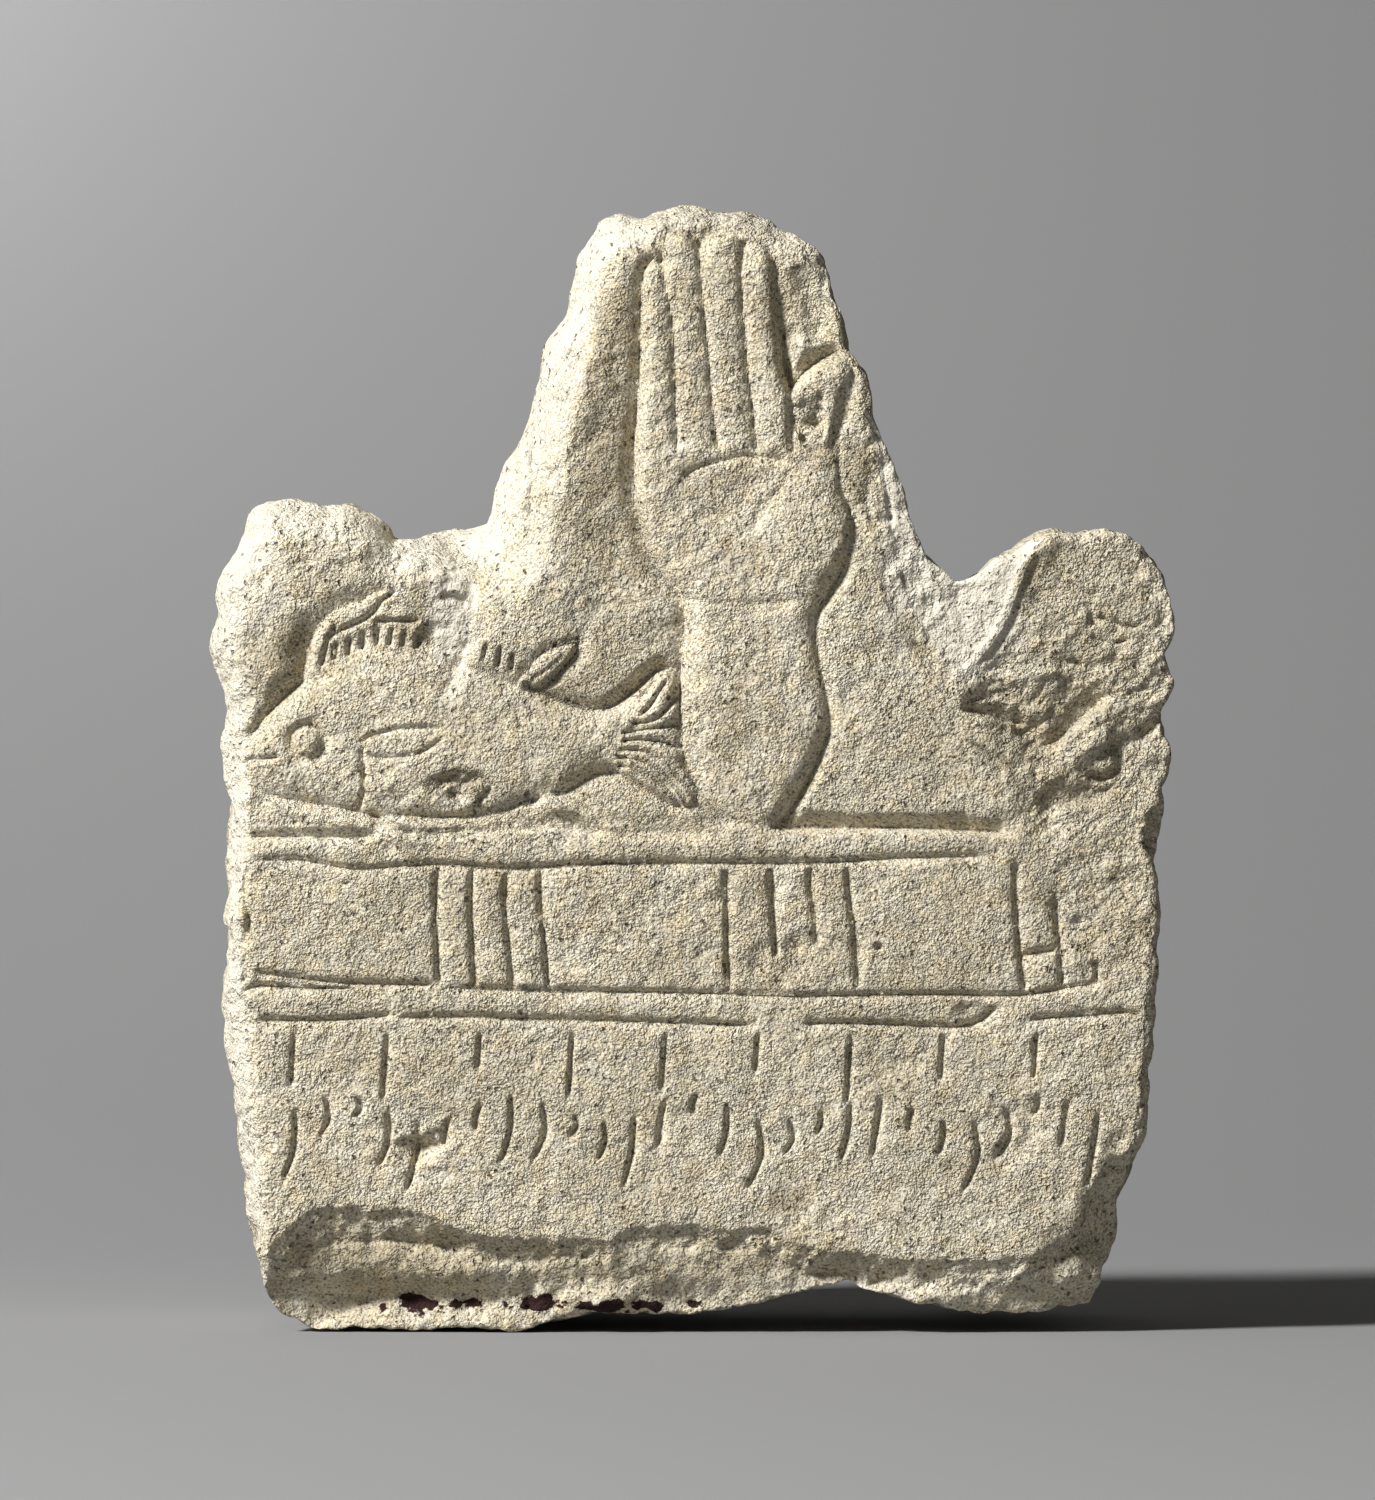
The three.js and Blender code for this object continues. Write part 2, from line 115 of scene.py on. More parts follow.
sweep_steps = 24
floor_front, bend_start, bend_radius, wall_top, half_width = -2.5, 0.2, 1.2, 3.0, 3.0
sweep_profile = [(floor_front, 0.0), (bend_start, 0.0)]
for step in range(1, sweep_steps + 1):
    angle = math.radians(90) * step / sweep_steps
    sweep_profile.append((bend_start + bend_radius * math.sin(angle),
                          bend_radius * (1 - math.cos(angle))))
sweep_profile.append((bend_start + bend_radius, wall_top))
sweep_points = [(side * half_width, y, z) for y, z in sweep_profile for side in (-1, 1)]
sweep_faces = [(2 * i, 2 * i + 1, 2 * i + 3, 2 * i + 2) for i in range(len(sweep_profile) - 1)]
sweep_mesh = bpy.data.meshes.new("sweep")
sweep_mesh.from_pydata(sweep_points, [], sweep_faces)
sweep_mesh.polygons.foreach_set("use_smooth", [True] * len(sweep_faces))
sweep = bpy.data.objects.new("sweep", sweep_mesh)
bpy.context.scene.collection.objects.link(sweep)
sweep_material = bpy.data.materials.new("paper")
sweep_material.use_nodes = True
sweep_shader = sweep_material.node_tree.nodes["Principled BSDF"]
sweep_shader.inputs["Base Color"].default_value = (0.222, 0.222, 0.222, 1)
sweep_shader.inputs["Roughness"].default_value = 0.9
sweep_mesh.materials.append(sweep_material)

# ---- The stone ----
# The stele is one block of fine cream limestone. Its face was dressed flat, and the figures, frieze
# and writing were cut into it with a fine chisel. The sides and back were left rough from the pick,
# and the shoulders and the lower edge have broken since.

# The face is a height field over the outline of the stone. Sizes are millimetres, with X to the
# right, Z up and the height of the face measured towards the viewer from the dressed surface, until
# the mesh is made.

CELLS_ACROSS = 440
CELLS_UP = 440
THICKNESS = 72.0
TRIANGLES = 196000
# The back is smaller than the face by these shares: a steady taper, and a round edge at the back.
TAPER, ROUND_EDGE = 0.012, 0.05

# The outline of the face, in four parts: x, z.
LEFT_SIDE = [
    (-69, 4.5), (-70.6, 8), (-71.6, 11.5), (-73.4, 19), (-74.7, 30), (-76, 38), (-77.2, 50),
    (-77.2, 56), (-76.3, 64.8), (-77, 69), (-76.4, 80), (-76.3, 88), (-77.8, 97), (-77.6, 103),
    (-79.4, 110), (-80, 114), (-79, 122), (-77, 127.2), (-74.5, 131.5), (-73, 135.3), (-70, 137.5),
]
TOP_EDGE = [
    (-70, 137.5), (-64, 137.4), (-59.5, 136.9), (-56.5, 136.9), (-53, 135.4), (-50, 133.8),
    (-48.8, 132.2), (-46, 131.2), (-42.6, 132.3), (-39.4, 133.7), (-35, 134.6), (-33, 139.2),
    (-31.2, 142.7), (-28.5, 146.8), (-26.5, 150.9), (-25.5, 156.6), (-24.7, 162.4), (-21.9, 167.3),
    (-20, 173), (-18.6, 178), (-16.8, 181.8), (-15.2, 183.6), (-11.9, 184.3), (-8.3, 184.2),
    (-5, 185.2), (-1.1, 186), (2.9, 185.5), (9.8, 184.3), (12.9, 183.4), (16.2, 181.5),
    (19.3, 179.3), (22.2, 176.6), (24.2, 171.4), (25.7, 168), (27, 162.4), (29.6, 158),
    (30.4, 153.3), (31.1, 149.2), (32.7, 144.3), (34.9, 140.2), (36.2, 136.9), (37.8, 132),
    (41.2, 127.1), (43.6, 124.6), (46, 124.6), (49.1, 127.1), (52.1, 128.7), (55.8, 131.5),
    (59.8, 132.7), (63.9, 132.3), (68, 133), (72.1, 131.9),
]
RIGHT_SIDE = [
    (66, 4.5), (67.3, 7.5), (68.1, 10.7), (69.3, 14), (71, 22.1), (74.2, 29.5), (75.9, 38.5),
    (76.2, 51.7), (77, 64), (77.3, 73), (76.7, 78.7), (78, 89.4), (78.8, 96.8), (77.5, 101.5),
    (79.6, 104.8), (80, 107.4), (78.4, 110.8), (79.8, 115.3), (79.5, 119), (78, 125), (75.4, 129.2),
    (72.1, 131.9),
]
BOTTOM_EDGE = [
    (-69, 4.5), (-66, 2.5), (-61.9, 1.1), (-53.2, 0.3), (-43, 0.5), (-35, 0.6), (-29.6, 0),
    (-24.5, 0.8), (-17.3, 2.2), (-7, 2.6), (-2, 3), (6, 3.9), (11.6, 4.8), (17, 6.1), (23.2, 7.7),
    (26, 8.5), (28.8, 7.4), (32.2, 6.2), (36.7, 4.6), (43, 3.1), (52, 3.1), (60, 3.6), (66, 4.5),
]
# The worn edge round the face: x, z, how far it reaches in from the outline, and its depth there.
EDGE_WEAR = [
    (-76, 40, 4.5, 9), (-77, 75, 3.6, 8), (-79, 110, 6, 9), (-74, 132, 8, 10), (-58, 137, 7, 9),
    (-44, 131, 8, 10), (-35, 134, 8, 11), (-27, 152, 7, 11), (-21, 172, 7, 11), (-15, 184, 7, 10),
    (0, 186, 5.5, 7), (12, 184, 4.6, 5), (22, 177, 2, 1.2), (27, 162, 0.8, 0.4),
    (31, 148, 0.7, 0.3), (36, 137, 0.7, 0.3), (45, 124, 0.7, 0.3), (58, 132, 2.4, 2.5),
    (74, 131, 1.2, 0.8), (79, 112, 0.8, 0.4), (78, 90, 0.9, 0.6), (77, 65, 1.2, 1),
    (75, 44, 1.6, 1.4), (72, 30, 2.4, 1.6), (70, 18, 3, 2),
]

# The outlines of the raised arm and the fish, and the lines between the fingers: x, z.
ARM = [
    (-1.2, 114), (-0.9, 118), (-1.8, 121), (-4.7, 124.3), (-7, 128), (-8.6, 133.7), (-9.3, 140.5),
    (-9.1, 146.8), (-8.4, 156.6), (-8.1, 163), (-8.1, 169), (-7.6, 174.2), (-6.2, 176.5),
    (-4.8, 176.2), (-4.3, 178.6), (-2.9, 181.2), (-1.2, 181.4), (0.6, 180.2), (1.6, 178.8),
    (2.6, 180.2), (5, 181.2), (7.4, 180.6), (9, 178.8), (10.6, 178.9), (12.4, 178.2), (13.7, 175.6),
    (14, 170), (14.5, 166.3), (15, 162.5), (15.6, 158.5), (16.4, 155.8), (17.4, 156.3),
    (18.4, 157.6), (20, 159), (22.2, 160.4), (24.4, 161.1), (26.2, 160.6), (26.9, 158.5),
    (26.4, 155.5), (25.4, 152), (24.5, 148), (24.2, 142), (24.6, 138.6), (25.9, 136), (26.5, 133),
    (26.2, 130), (25.6, 127.5), (24.4, 124.6), (22.5, 121.3), (20.7, 118.4), (20.4, 115.5),
    (20.9, 111), (21.8, 106.5), (22.6, 102), (22.4, 98.6), (21.7, 96.4), (20.5, 93.4), (18.9, 90.2),
    (17.4, 87.6), (15.5, 85), (13.6, 83.2), (11, 82.4), (8, 83.5), (4.8, 85.3), (2.5, 87.7),
    (1, 90.2), (-0.2, 92.8), (-1, 95.3), (-1.5, 99), (-1.7, 104), (-1.6, 109.5),
]
FINGER_GROOVES = [
    [(-4.7, 176.5), (-4.3, 172.5), (-3.5, 168.9), (-3, 165.6), (-2.7, 161), (-2.6, 154), (-2.2, 145)],
    [(1.3, 180), (1.6, 173.7), (1.9, 170.4), (2.4, 165.6), (2.9, 161), (3.4, 153.7), (4.5, 144.8)],
    [(9.2, 180), (8.4, 176.5), (8.4, 170), (8.9, 164), (9.4, 157.8), (10.2, 152), (10.9, 144.6)],
]
THUMB_GAP = [(15, 160.5), (16.2, 156.6), (16.5, 153.2), (16.6, 149), (16.8, 144.5)]
FISH = [
    (-74.3, 94.4), (-73.8, 96.3), (-71.8, 98.7), (-69.9, 101.2), (-67.7, 103.5), (-65.5, 105.5),
    (-63.6, 107.1), (-61, 108.5), (-58.1, 109.8), (-55.4, 110.8), (-52.4, 111.5), (-49.4, 111.9),
    (-46.5, 112), (-43.5, 111.4), (-40.3, 110.3), (-36.5, 109.6), (-33.5, 108.7), (-31, 107.6),
    (-28, 106.6), (-25.2, 105.5), (-22.9, 104.5), (-19.8, 103.5), (-16.8, 102.7), (-14.8, 102.5),
    (-12.7, 103.2), (-10.6, 104.5), (-8.4, 106.3), (-6.8, 107.9), (-5.2, 109), (-3.2, 109),
    (-1.9, 107), (-1.8, 102), (-1.6, 98), (-1, 94), (0.2, 91.2), (0.7, 89.2), (0, 87.6),
    (-1.7, 87.1), (-3.5, 87.7), (-6.3, 89.2), (-8.8, 90.7), (-10.6, 92), (-12.4, 92.4),
    (-14.4, 92.3), (-16.4, 91.7), (-18.4, 90.4), (-20.3, 89.2), (-22.4, 88.7), (-25, 87.9),
    (-28, 87.1), (-30.4, 86.2), (-33.5, 85.6), (-37, 85.1), (-41.1, 85), (-47.6, 85.3),
    (-51.1, 85.1), (-54, 85.7), (-58.8, 86.6), (-62.4, 87.2), (-65.5, 87.7), (-68.1, 88.3),
    (-70.3, 89.3), (-72.1, 90.7), (-73.6, 92.2),
]
TAIL_LOBE = [
    (-12.6, 96.6), (-9, 97.4), (-5.4, 96.6), (-2.4, 94.2), (-0.4, 91.6), (1, 88.8), (0.3, 86.8),
    (-2, 86.6), (-4.6, 87.8), (-8, 89.8), (-11.6, 92.2), (-13, 94.4),
]
DORSAL_FIN = [
    (-63.2, 107), (-63.2, 110.7), (-62.7, 113), (-61.4, 116), (-59.6, 118), (-57, 119.6),
    (-54, 120.6), (-51, 122), (-48.4, 121.8), (-46.5, 119.4), (-43.4, 117.2), (-40.6, 115.2),
    (-40.2, 112), (-41, 109), (-50, 110), (-58, 108.5),
]
SECOND_FIN = [
    (-28.4, 106.8), (-26.8, 109.4), (-24.7, 111.8), (-22.2, 113.3), (-18.6, 114), (-18.9, 111.5),
    (-21.2, 109), (-23, 107.2), (-25.6, 105.8),
]
# Ridge of the gable's left flank: it falls away to the left and dips gently to the hand.
FLANK_RIDGE = [
    (-8.3, 182), (-11.2, 177), (-12, 169.7), (-13.5, 164), (-16.2, 159.9), (-18.1, 153.3),
    (-19.4, 146.8), (-20, 140), (-21.4, 133.7), (-23.9, 125.5), (-26.3, 120.5), (-30, 115),
]
LOWER_EDGE = [
    (-80, 12), (-70, 13.5), (-66.2, 16.6), (-64, 19.8), (-60, 21), (-55.5, 21.2), (-47.6, 20.4),
    (-39.6, 18.2), (-31.2, 16.4), (-21.4, 15.6), (-13.2, 15.6), (-6.6, 18), (1.6, 18), (8.2, 17.4),
    (13, 16.8), (16.4, 14.8), (26.2, 14), (34.4, 12.6), (44.2, 12), (51, 12.1), (57.3, 13.2),
    (61.4, 15.6), (63.9, 18), (65.5, 23.8), (70, 30), (80, 34),
]
# Chips and scoops out of the face: x, z, half width, half height, depth.
SCOOPS = [
    (-45.2, 30.4, 4.2, 2.6, 1.7), (-41.5, 32, 3, 2, 0.8), (-62.9, 34, 2.6, 2, 0.4),
    (46.8, 52.3, 4.2, 2.4, 1.0), (11.4, 61.5, 2.2, 3.4, 0.6), (17.6, 62.4, 2.4, 4, 0.7),
    (-71.5, 31, 3, 6, 1.1), (-40.6, 90.8, 3, 1.3, 0.3), (-36.6, 89.8, 5, 2.6, 0.2),
    (19.4, 150, 3, 4, 0.7), (19.2, 169, 5.2, 7, 1.6), (18.3, 152.4, 0.8, 1.0, 0.8),
    (20.7, 149.4, 1.1, 0.8, 0.7), (18.6, 147, 0.7, 1.1, 0.8), (21.4, 154, 0.6, 0.9, 0.5),
    (21, 145.6, 0.9, 0.6, 0.6), (57, 36, 4.6, 4, 0.6), (52, 30, 3, 3.4, 0.5), (28, 45, 3, 2, 0.25),
    (5.4, 103.6, 2, 1.2, 0.25), (-5.5, 110.5, 1.6, 1.2, 0.4), (-72.5, 104, 2.6, 4, 0.7),
    (-43, 114.5, 2.4, 2.6, 0.9), (77, 82, 2.4, 4.4, 1.8), (72.4, 88.2, 3, 3.2, 0.9),
]
# Pitted and chipped places: x, z, half width, half height, strength.
ROUGH_PATCHES = [
    (19.6, 150, 3, 5.5, 0.85), (-37.4, 89.8, 5.6, 3, 1.2), (12, 183.5, 18, 3.4, 0.5),
    (31, 146, 3.6, 16, 0.5), (36, 122, 5, 9, 0.5), (22, 170, 5, 8, 0.4), (-14, 178, 5, 7, 0.5),
    (-66, 126, 8, 9, 0.3), (64, 92, 10, 9, 0.6), (70, 68, 8, 18, 0.3), (3, 160, 11, 17, 0.26),
    (-21, 150, 7, 26, 0.34), (-60, 127, 10, 6, 0.4), (44, 118, 8, 14, 0.3), (30, 108, 10, 10, 0.22),
    (-40, 33, 8, 5, 0.35), (17, 62, 3, 4, 0.4), (52, 33, 6, 6, 0.3),
]
# Freshly broken, pale and smooth stone, and brown dirt in the old surface together with painted shade
# in the hollow in front of the dorsal fin: x, z, half width, half height, strength.
PALE_PATCHES = [
    (-38.8, 118, 4.4, 13, 1.1), (-41, 130, 10, 6, 1.2), (-39, 107, 2.4, 5, 1.0),
    (40, 9, 40, 4, 0.4), (34, 128, 4, 18, 0.8), (-22, 160, 6, 26, 0.7), (-70, 126, 6, 12, 0.6),
    (-60, 136, 16, 3.5, 0.6), (-38.5, 108, 2.4, 5, 0.9), (46, 118, 9, 12, 1.0),
    (12, 134, 5, 5, 0.5), (-76, 100, 4, 18, 0.5), (29, 160, 4, 10, 0.4), (-66, 82, 10, 6, 0.3),
    (-24, 128, 7, 9, 0.5), (38, 131, 5, 12, 0.4), (76, 118, 4, 14, 0.4), (-43, 25.5, 5, 2, 0.8),
]
DIRT_AND_SHADE_PATCHES = [
    (-50, 12, 22, 6, 0.7), (0, 12, 40, 5, 0.5), (-12.4, 164, 3.6, 9, 0.8),
    (-14.5, 148, 4.6, 18, 0.85), (-13, 130, 8, 9, 0.7), (-46, 115, 3, 4, 0.8),
    (-38.6, 121, 2, 1.6, 1.2), (27.5, 141, 2.4, 7, 1.0), (36, 116, 4.6, 7, 0.6),
    # The patch at x -66, z 110 is painted shade: it darkens the hollow in front of the dorsal fin.
    (-66, 110, 4, 8, 0.6), (-44, 120, 2, 8, 0.6), (-60, 127, 12, 6, 0.35), (4, 170, 9, 10, 0.3),
    (49, 114, 3, 8, 0.9), (4, 140, 9, 3, 0.4), (4, 158, 8, 12, 0.3), (14, 168, 6, 9, 0.5),
    (2, 183, 12, 3, 0.7), (10, 104, 8, 14, 0.35), (0, 68, 40, 9, 0.2), (8, 98.6, 3, 1.6, 1.0),
    (15.6, 22, 3, 2, 0.9), (42, 27.6, 2, 1.6, 0.8), (0, 26, 1.4, 3, 0.8), (-68, 126, 6, 4, 0.4),
    (56, 100, 9, 7, 0.6), (70, 101, 6, 4, 0.6), (64, 90, 9, 5, 0.5), (-62, 104, 2, 4, 0.6),
    (66, 118, 14, 12, 0.35), (52, 104, 5, 4, 0.6), (-20, 106, 9, 4, 0.5), (20, 144, 4, 3, 0.5),
    (62, 64, 10, 12, 0.25), (-37, 90.5, 4.4, 2.6, 0.7),
]

# The frieze's level and upright grooves, and the two rows of strokes under it.
FRIEZE_LEVELS = [
    [(-71.6, 77.9), (-64, 77.8), (-55, 76.4), (-41, 77.2), (-30, 76.4), (-14, 77.2), (11, 77.3),
     (25, 77.6), (35, 78.2), (50, 78.5)],
    [(-72, 59.6), (-67, 58.8), (-57, 57.7), (-41.8, 57.4)],
    [(-73.5, 56.2), (-70.5, 57.2), (-62, 56.8), (-55, 56.8)],
    [(-41, 56.9), (-21, 56.3), (0, 56), (18, 55.5), (38, 55.8), (50.8, 55.6), (57, 56), (61.4, 56.9),
     (68.2, 57.7)],
    [(-70.8, 51.7), (-63, 51.5), (-56, 51.8), (-49, 52.4)],
    [(-47.8, 52), (-36, 52.1), (-27, 51.7), (-15, 51.5), (1.5, 51), (11, 50.6)],
    [(18.3, 51), (28, 51), (43, 50.5), (47.2, 51.3), (50.3, 54)],
    [(56, 51.7), (63, 52.2), (71, 52.8), (74, 52)],
]
UPRIGHTS = [
    [(-73.1, 75), (-73.4, 71.4), (-72.4, 68.4), (-73, 64.3), (-73.2, 57.2)],
    [(-41.4, 77.7), (-41.9, 71.3), (-41.6, 64.3), (-41.2, 57.2)],
    [(-35.8, 76.9), (-36, 71.2), (-35.7, 64.3), (-35.3, 56.7)],
    [(-30.3, 76.1), (-30.4, 70.4), (-29.8, 64.3), (-29, 56.3)],
    [(-24.7, 76.6), (-24.5, 70.4), (-23.9, 64.3), (-23.2, 56.7)],
    [(5.7, 76.6), (6, 70.8), (6.1, 63.5), (6.5, 56.1)],
    [(13.2, 77), (13.5, 71.3), (13.8, 66), (14, 61.8)],
    [(20, 77), (19.6, 74), (20.5, 68.9), (20.6, 63.5)],
    [(25.7, 77), (26.2, 71.3), (27, 66), (27.5, 56.6)],
    [(53.5, 77.5), (53.4, 73), (54, 63.5), (55, 56)],
    [(59.9, 71.3), (60.6, 63.5), (61.1, 57)],
    [(66.6, 61.3), (66.8, 57.7)],
    [(54.2, 62.2), (60.1, 63.1)],
]
STROKES_FROM, STROKES_TO = -68.0, 69.0
TALL_STROKES, LOW_STROKES = 9, 27
TALL_HEAD, LOW_HEAD = 49.5, 37

# The broken notch right of the gable, and the split right shoulder: x, z.
NOTCH = [
    (29, 152), (30.6, 146.5), (31.6, 137), (33.4, 127.1), (35.6, 119.8), (38.6, 114.6), (41.6, 111),
    (44.6, 108.6), (46.4, 110.8), (48.6, 113.4), (51.2, 117.3), (52.8, 122.2), (54.6, 127),
    (58, 131), (50, 132), (40, 134), (36, 150),
]
SPLIT = [
    (58, 131), (54.6, 127), (52.8, 122.2), (51.2, 117.3), (48.6, 113.4), (46.4, 110.8),
    (44.6, 108.4), (44.2, 104), (44.6, 101), (47.5, 95), (50, 90), (51.5, 84), (52, 78), (56, 68),
    (60, 60), (84, 58), (84, 110), (80, 134), (66, 138),
]


def curve(points, parts=6, closed=False):
    """Points on a smooth curve through the given ones: each step is a cubic whose slope at a point
    is half the way from the point before it to the point after it."""
    p = np.array(points, float)
    before = np.roll(p, 1, 0) if closed else np.vstack([p[:1], p[:-1]])
    after = np.roll(p, -1, 0) if closed else np.vstack([p[1:], p[-1:]])
    slope = (after - before) / 2
    start, end = (p, after) if closed else (p[:-1], p[1:])
    slope0, slope1 = (slope, np.roll(slope, -1, 0)) if closed else (slope[:-1], slope[1:])
    t = (np.arange(parts) / parts)[None, :, None]
    a, b, c, d = start[:, None], end[:, None], slope0[:, None], slope1[:, None]
    made = (2 * t**3 - 3 * t**2 + 1) * a + (3 * t**2 - 2 * t**3) * b
    made = made + (t**3 - 2 * t**2 + t) * c + (t**3 - t**2) * d
    made = made.reshape(-1, 2)
    return made if closed else np.vstack([made, p[-1:]])


def evenly(points, shares):
    """Points on a smooth curve at these shares of its length, from 0 to 1."""
    line = curve(points, 20)
    length = np.append(0, np.cumsum(np.hypot(*np.diff(line, axis=0).T)))
    place = shares * length[-1]
    return np.stack([np.interp(place, length, line[:, k]) for k in (0, 1)], -1)


def along(line, px, pz):
    """Distance of each point to a polyline, its share of the way along it, and the side it lies on:
    +1 on the left of the line's direction. The nearest point of each straight part is found by
    projection, held between its ends."""
    line = np.array(line, float)
    length = np.append(0, np.cumsum(np.hypot(*np.diff(line, axis=0).T)))
    best = np.full(px.shape, 1e9)
    share = np.zeros(px.shape)
    side = np.ones(px.shape)
    for i in range(len(line) - 1):
        (ax, az), (bx, bz) = line[i], line[i + 1]
        dx, dz = bx - ax, bz - az
        t = np.clip(((px - ax) * dx + (pz - az) * dz) / (dx * dx + dz * dz + 1e-12), 0, 1)
        ex, ez = px - ax - t * dx, pz - az - t * dz
        distance = ex * ex + ez * ez
        nearer = distance < best
        best = np.where(nearer, distance, best)
        share = np.where(nearer, (length[i] + t * (length[i + 1] - length[i])) / length[-1], share)
        side = np.where(nearer, np.where(dx * ez - dz * ex >= 0, 1.0, -1.0), side)
    return np.sqrt(best), share, side


def depth_inside(ring, px, pz):
    """Distance to a closed ring, positive inside it and negative outside, by the even-odd rule."""
    distance = along(np.vstack([ring, ring[:1]]), px, pz)[0]
    inside = np.zeros(px.shape, bool)
    for (ax, az), (bx, bz) in zip(ring, np.roll(ring, -1, 0)):
        if az != bz:
            inside ^= ((az > pz) != (bz > pz)) & (px < (bx - ax) * (pz - az) / (bz - az) + ax)
    return np.where(inside, distance, -distance)


def ramp(low, high, value):
    """0 below low, 1 above high, and an S-shaped rise between them."""
    t = np.clip((value - low) / (high - low), 0, 1)
    return t * t * (3 - 2 * t)


# A cell of noise finds its random values in a table by its place, through these large primes.
PRIMES = np.array([73856093, 19349663, 83492791])
TABLE_SIZE = 8192
# Noise is read this many cells away from the origin.
CELLS_AWAY = 500.0


def noise(points, size, seed):
    """Smooth noise from -1 to 1 in space: random values on a cubic lattice of this size, blended
    between the eight corners of a cell with S-shaped weights."""
    values = np.random.default_rng(seed).uniform(-1, 1, TABLE_SIZE)
    place = points / size + CELLS_AWAY
    cell = np.floor(place).astype(np.int64)
    part = place - cell
    part = part * part * (3 - 2 * part)
    total = np.zeros(len(points))
    for corner in range(8):
        step = np.array([corner & 1, corner >> 1 & 1, corner >> 2 & 1])
        row = ((cell + step) @ PRIMES) % TABLE_SIZE
        weight = np.prod(np.where(step == 1, part, 1 - part), axis=1)
        total += weight * values[row]
    return total


def flakes(points, size, seed):
    """Shallow bowls with sharp rims, as on broken stone, from 0 at a bowl's bottom. Each point takes
    the lowest of the tilted bowls that sit at random in the 27 cells round it."""
    cell = np.floor(points / size).astype(np.int64)
    table = np.random.default_rng(seed).uniform(-1, 1, (TABLE_SIZE, 6))
    lowest = np.full(len(points), 1e9)
    for number in range(27):
        step = np.array([number % 3 - 1, number // 3 % 3 - 1, number // 9 - 1])
        there = cell + step
        pick = table[(there @ PRIMES) % TABLE_SIZE]
        offset = points / size - (there + 0.5 + 0.45 * pick[:, :3])
        bowl = (offset**2).sum(1) + 0.55 * (offset * pick[:, 3:]).sum(1)
        lowest = np.minimum(lowest, bowl)
    return lowest


# The face is a grid that follows the outline on its four sides.
u = np.linspace(0, 1, CELLS_ACROSS + 1)
v = np.linspace(0, 1, CELLS_UP + 1)
top_line = curve(TOP_EDGE, 20)
measure = np.append(0, np.cumsum(
    np.abs(np.diff(top_line[:, 0])) + 0.35 * np.hypot(*np.diff(top_line, axis=0).T)))
top = np.stack([np.interp(u * measure[-1], measure, top_line[:, k]) for k in (0, 1)], -1)
bottom_line = curve(BOTTOM_EDGE, 20)
bottom_left, bottom_right = BOTTOM_EDGE[0][0], BOTTOM_EDGE[-1][0]
bottom_x = bottom_left + (bottom_right - bottom_left) * (top[:, 0] - top[0, 0]) / (top[-1, 0] - top[0, 0])
bottom = np.stack([bottom_x, np.interp(bottom_x, *bottom_line.T)], -1)
left, right = evenly(LEFT_SIDE, v), evenly(RIGHT_SIDE, v)
# Straight columns from the bottom to the top edge; the first and last ones bend to the sides by
# (1 - u) ** 6 and u ** 6 of what they lack.
U, V = u[None, :, None], v[:, None, None]
face = (1 - V) * bottom[None] + V * top[None]
face = (face + (1 - U) ** 6 * (left[:, None] - face[:, :1]) + U**6 * (right[:, None] - face[:, -1:]))
x, z = face[..., 0].ravel(), face[..., 1].ravel()
flat = np.stack([x, np.zeros_like(x), z], 1)

columns, rows = CELLS_ACROSS + 1, CELLS_UP + 1
numbers = np.arange(columns * rows).reshape(rows, columns)
border = np.concatenate([numbers[0, :-1], numbers[:-1, -1], numbers[-1, :0:-1], numbers[:0:-1, 0]])
outline = np.stack([x[border], z[border]], 1)

# The ground: the dressed face below, the sunk field with its gable and shoulders above.
rough = np.zeros_like(x)
ledge = 83.2 + 0.4 * noise(flat, 14, 3)
upper = ramp(-0.5, 1.5, z - ledge)
height = 0.16 * noise(flat, 16, 1) + (0.07 + 0.05 * upper) * noise(flat, 5, 2)
height += (0.05 + 0.05 * upper) * noise(flat, 2.1, 4) + 0.05 * noise(flat, 1.1, 44)
height += upper * (-0.35 + 0.45 * noise(flat, 15, 7) * ramp(-48, -56, x) - 0.2 * ramp(-20, -60, x))

ridge_away, ridge_share, ridge_side = along(curve(FLANK_RIDGE), x, z)
ridge_fade = upper * ramp(0, 0.06, ridge_share) * ramp(1.0, 0.86, ridge_share)
left_of_ridge = ridge_side < 0
ridge_away = np.hypot(ridge_away, 1.0) - 1.0
height -= np.where(left_of_ridge, 0.62 * ridge_away, 0) * ridge_fade * ramp(24, 14, ridge_away)
height -= np.where(left_of_ridge, 0, 0.2 * np.minimum(ridge_away, 9)) * ridge_fade * (x < 6)


def valley(line, depth, left_width, right_width, power=1.0):
    """Lowers the face by depth * (1 - t) ** power along a line, where t is the distance as a share of
    the width, with one width on its left and another on its right, and run out at both ends."""
    line = curve(line, 5)
    reach = max(left_width, right_width)
    low, high = line.min(0) - reach, line.max(0) + reach
    near = np.flatnonzero((x > low[0]) & (x < high[0]) & (z > low[1]) & (z < high[1]))
    distance, share, side = along(line, x[near], z[near])
    width = np.where(side > 0, left_width, right_width) * (1 + 0.2 * noise(flat[near], 4, 8))
    fade = np.clip(np.minimum(share, 1 - share) / 0.12, 0, 1) ** 0.7
    rest = np.clip(distance / width, 0, 1)
    height[near] -= depth * fade * (1 - rest) ** power


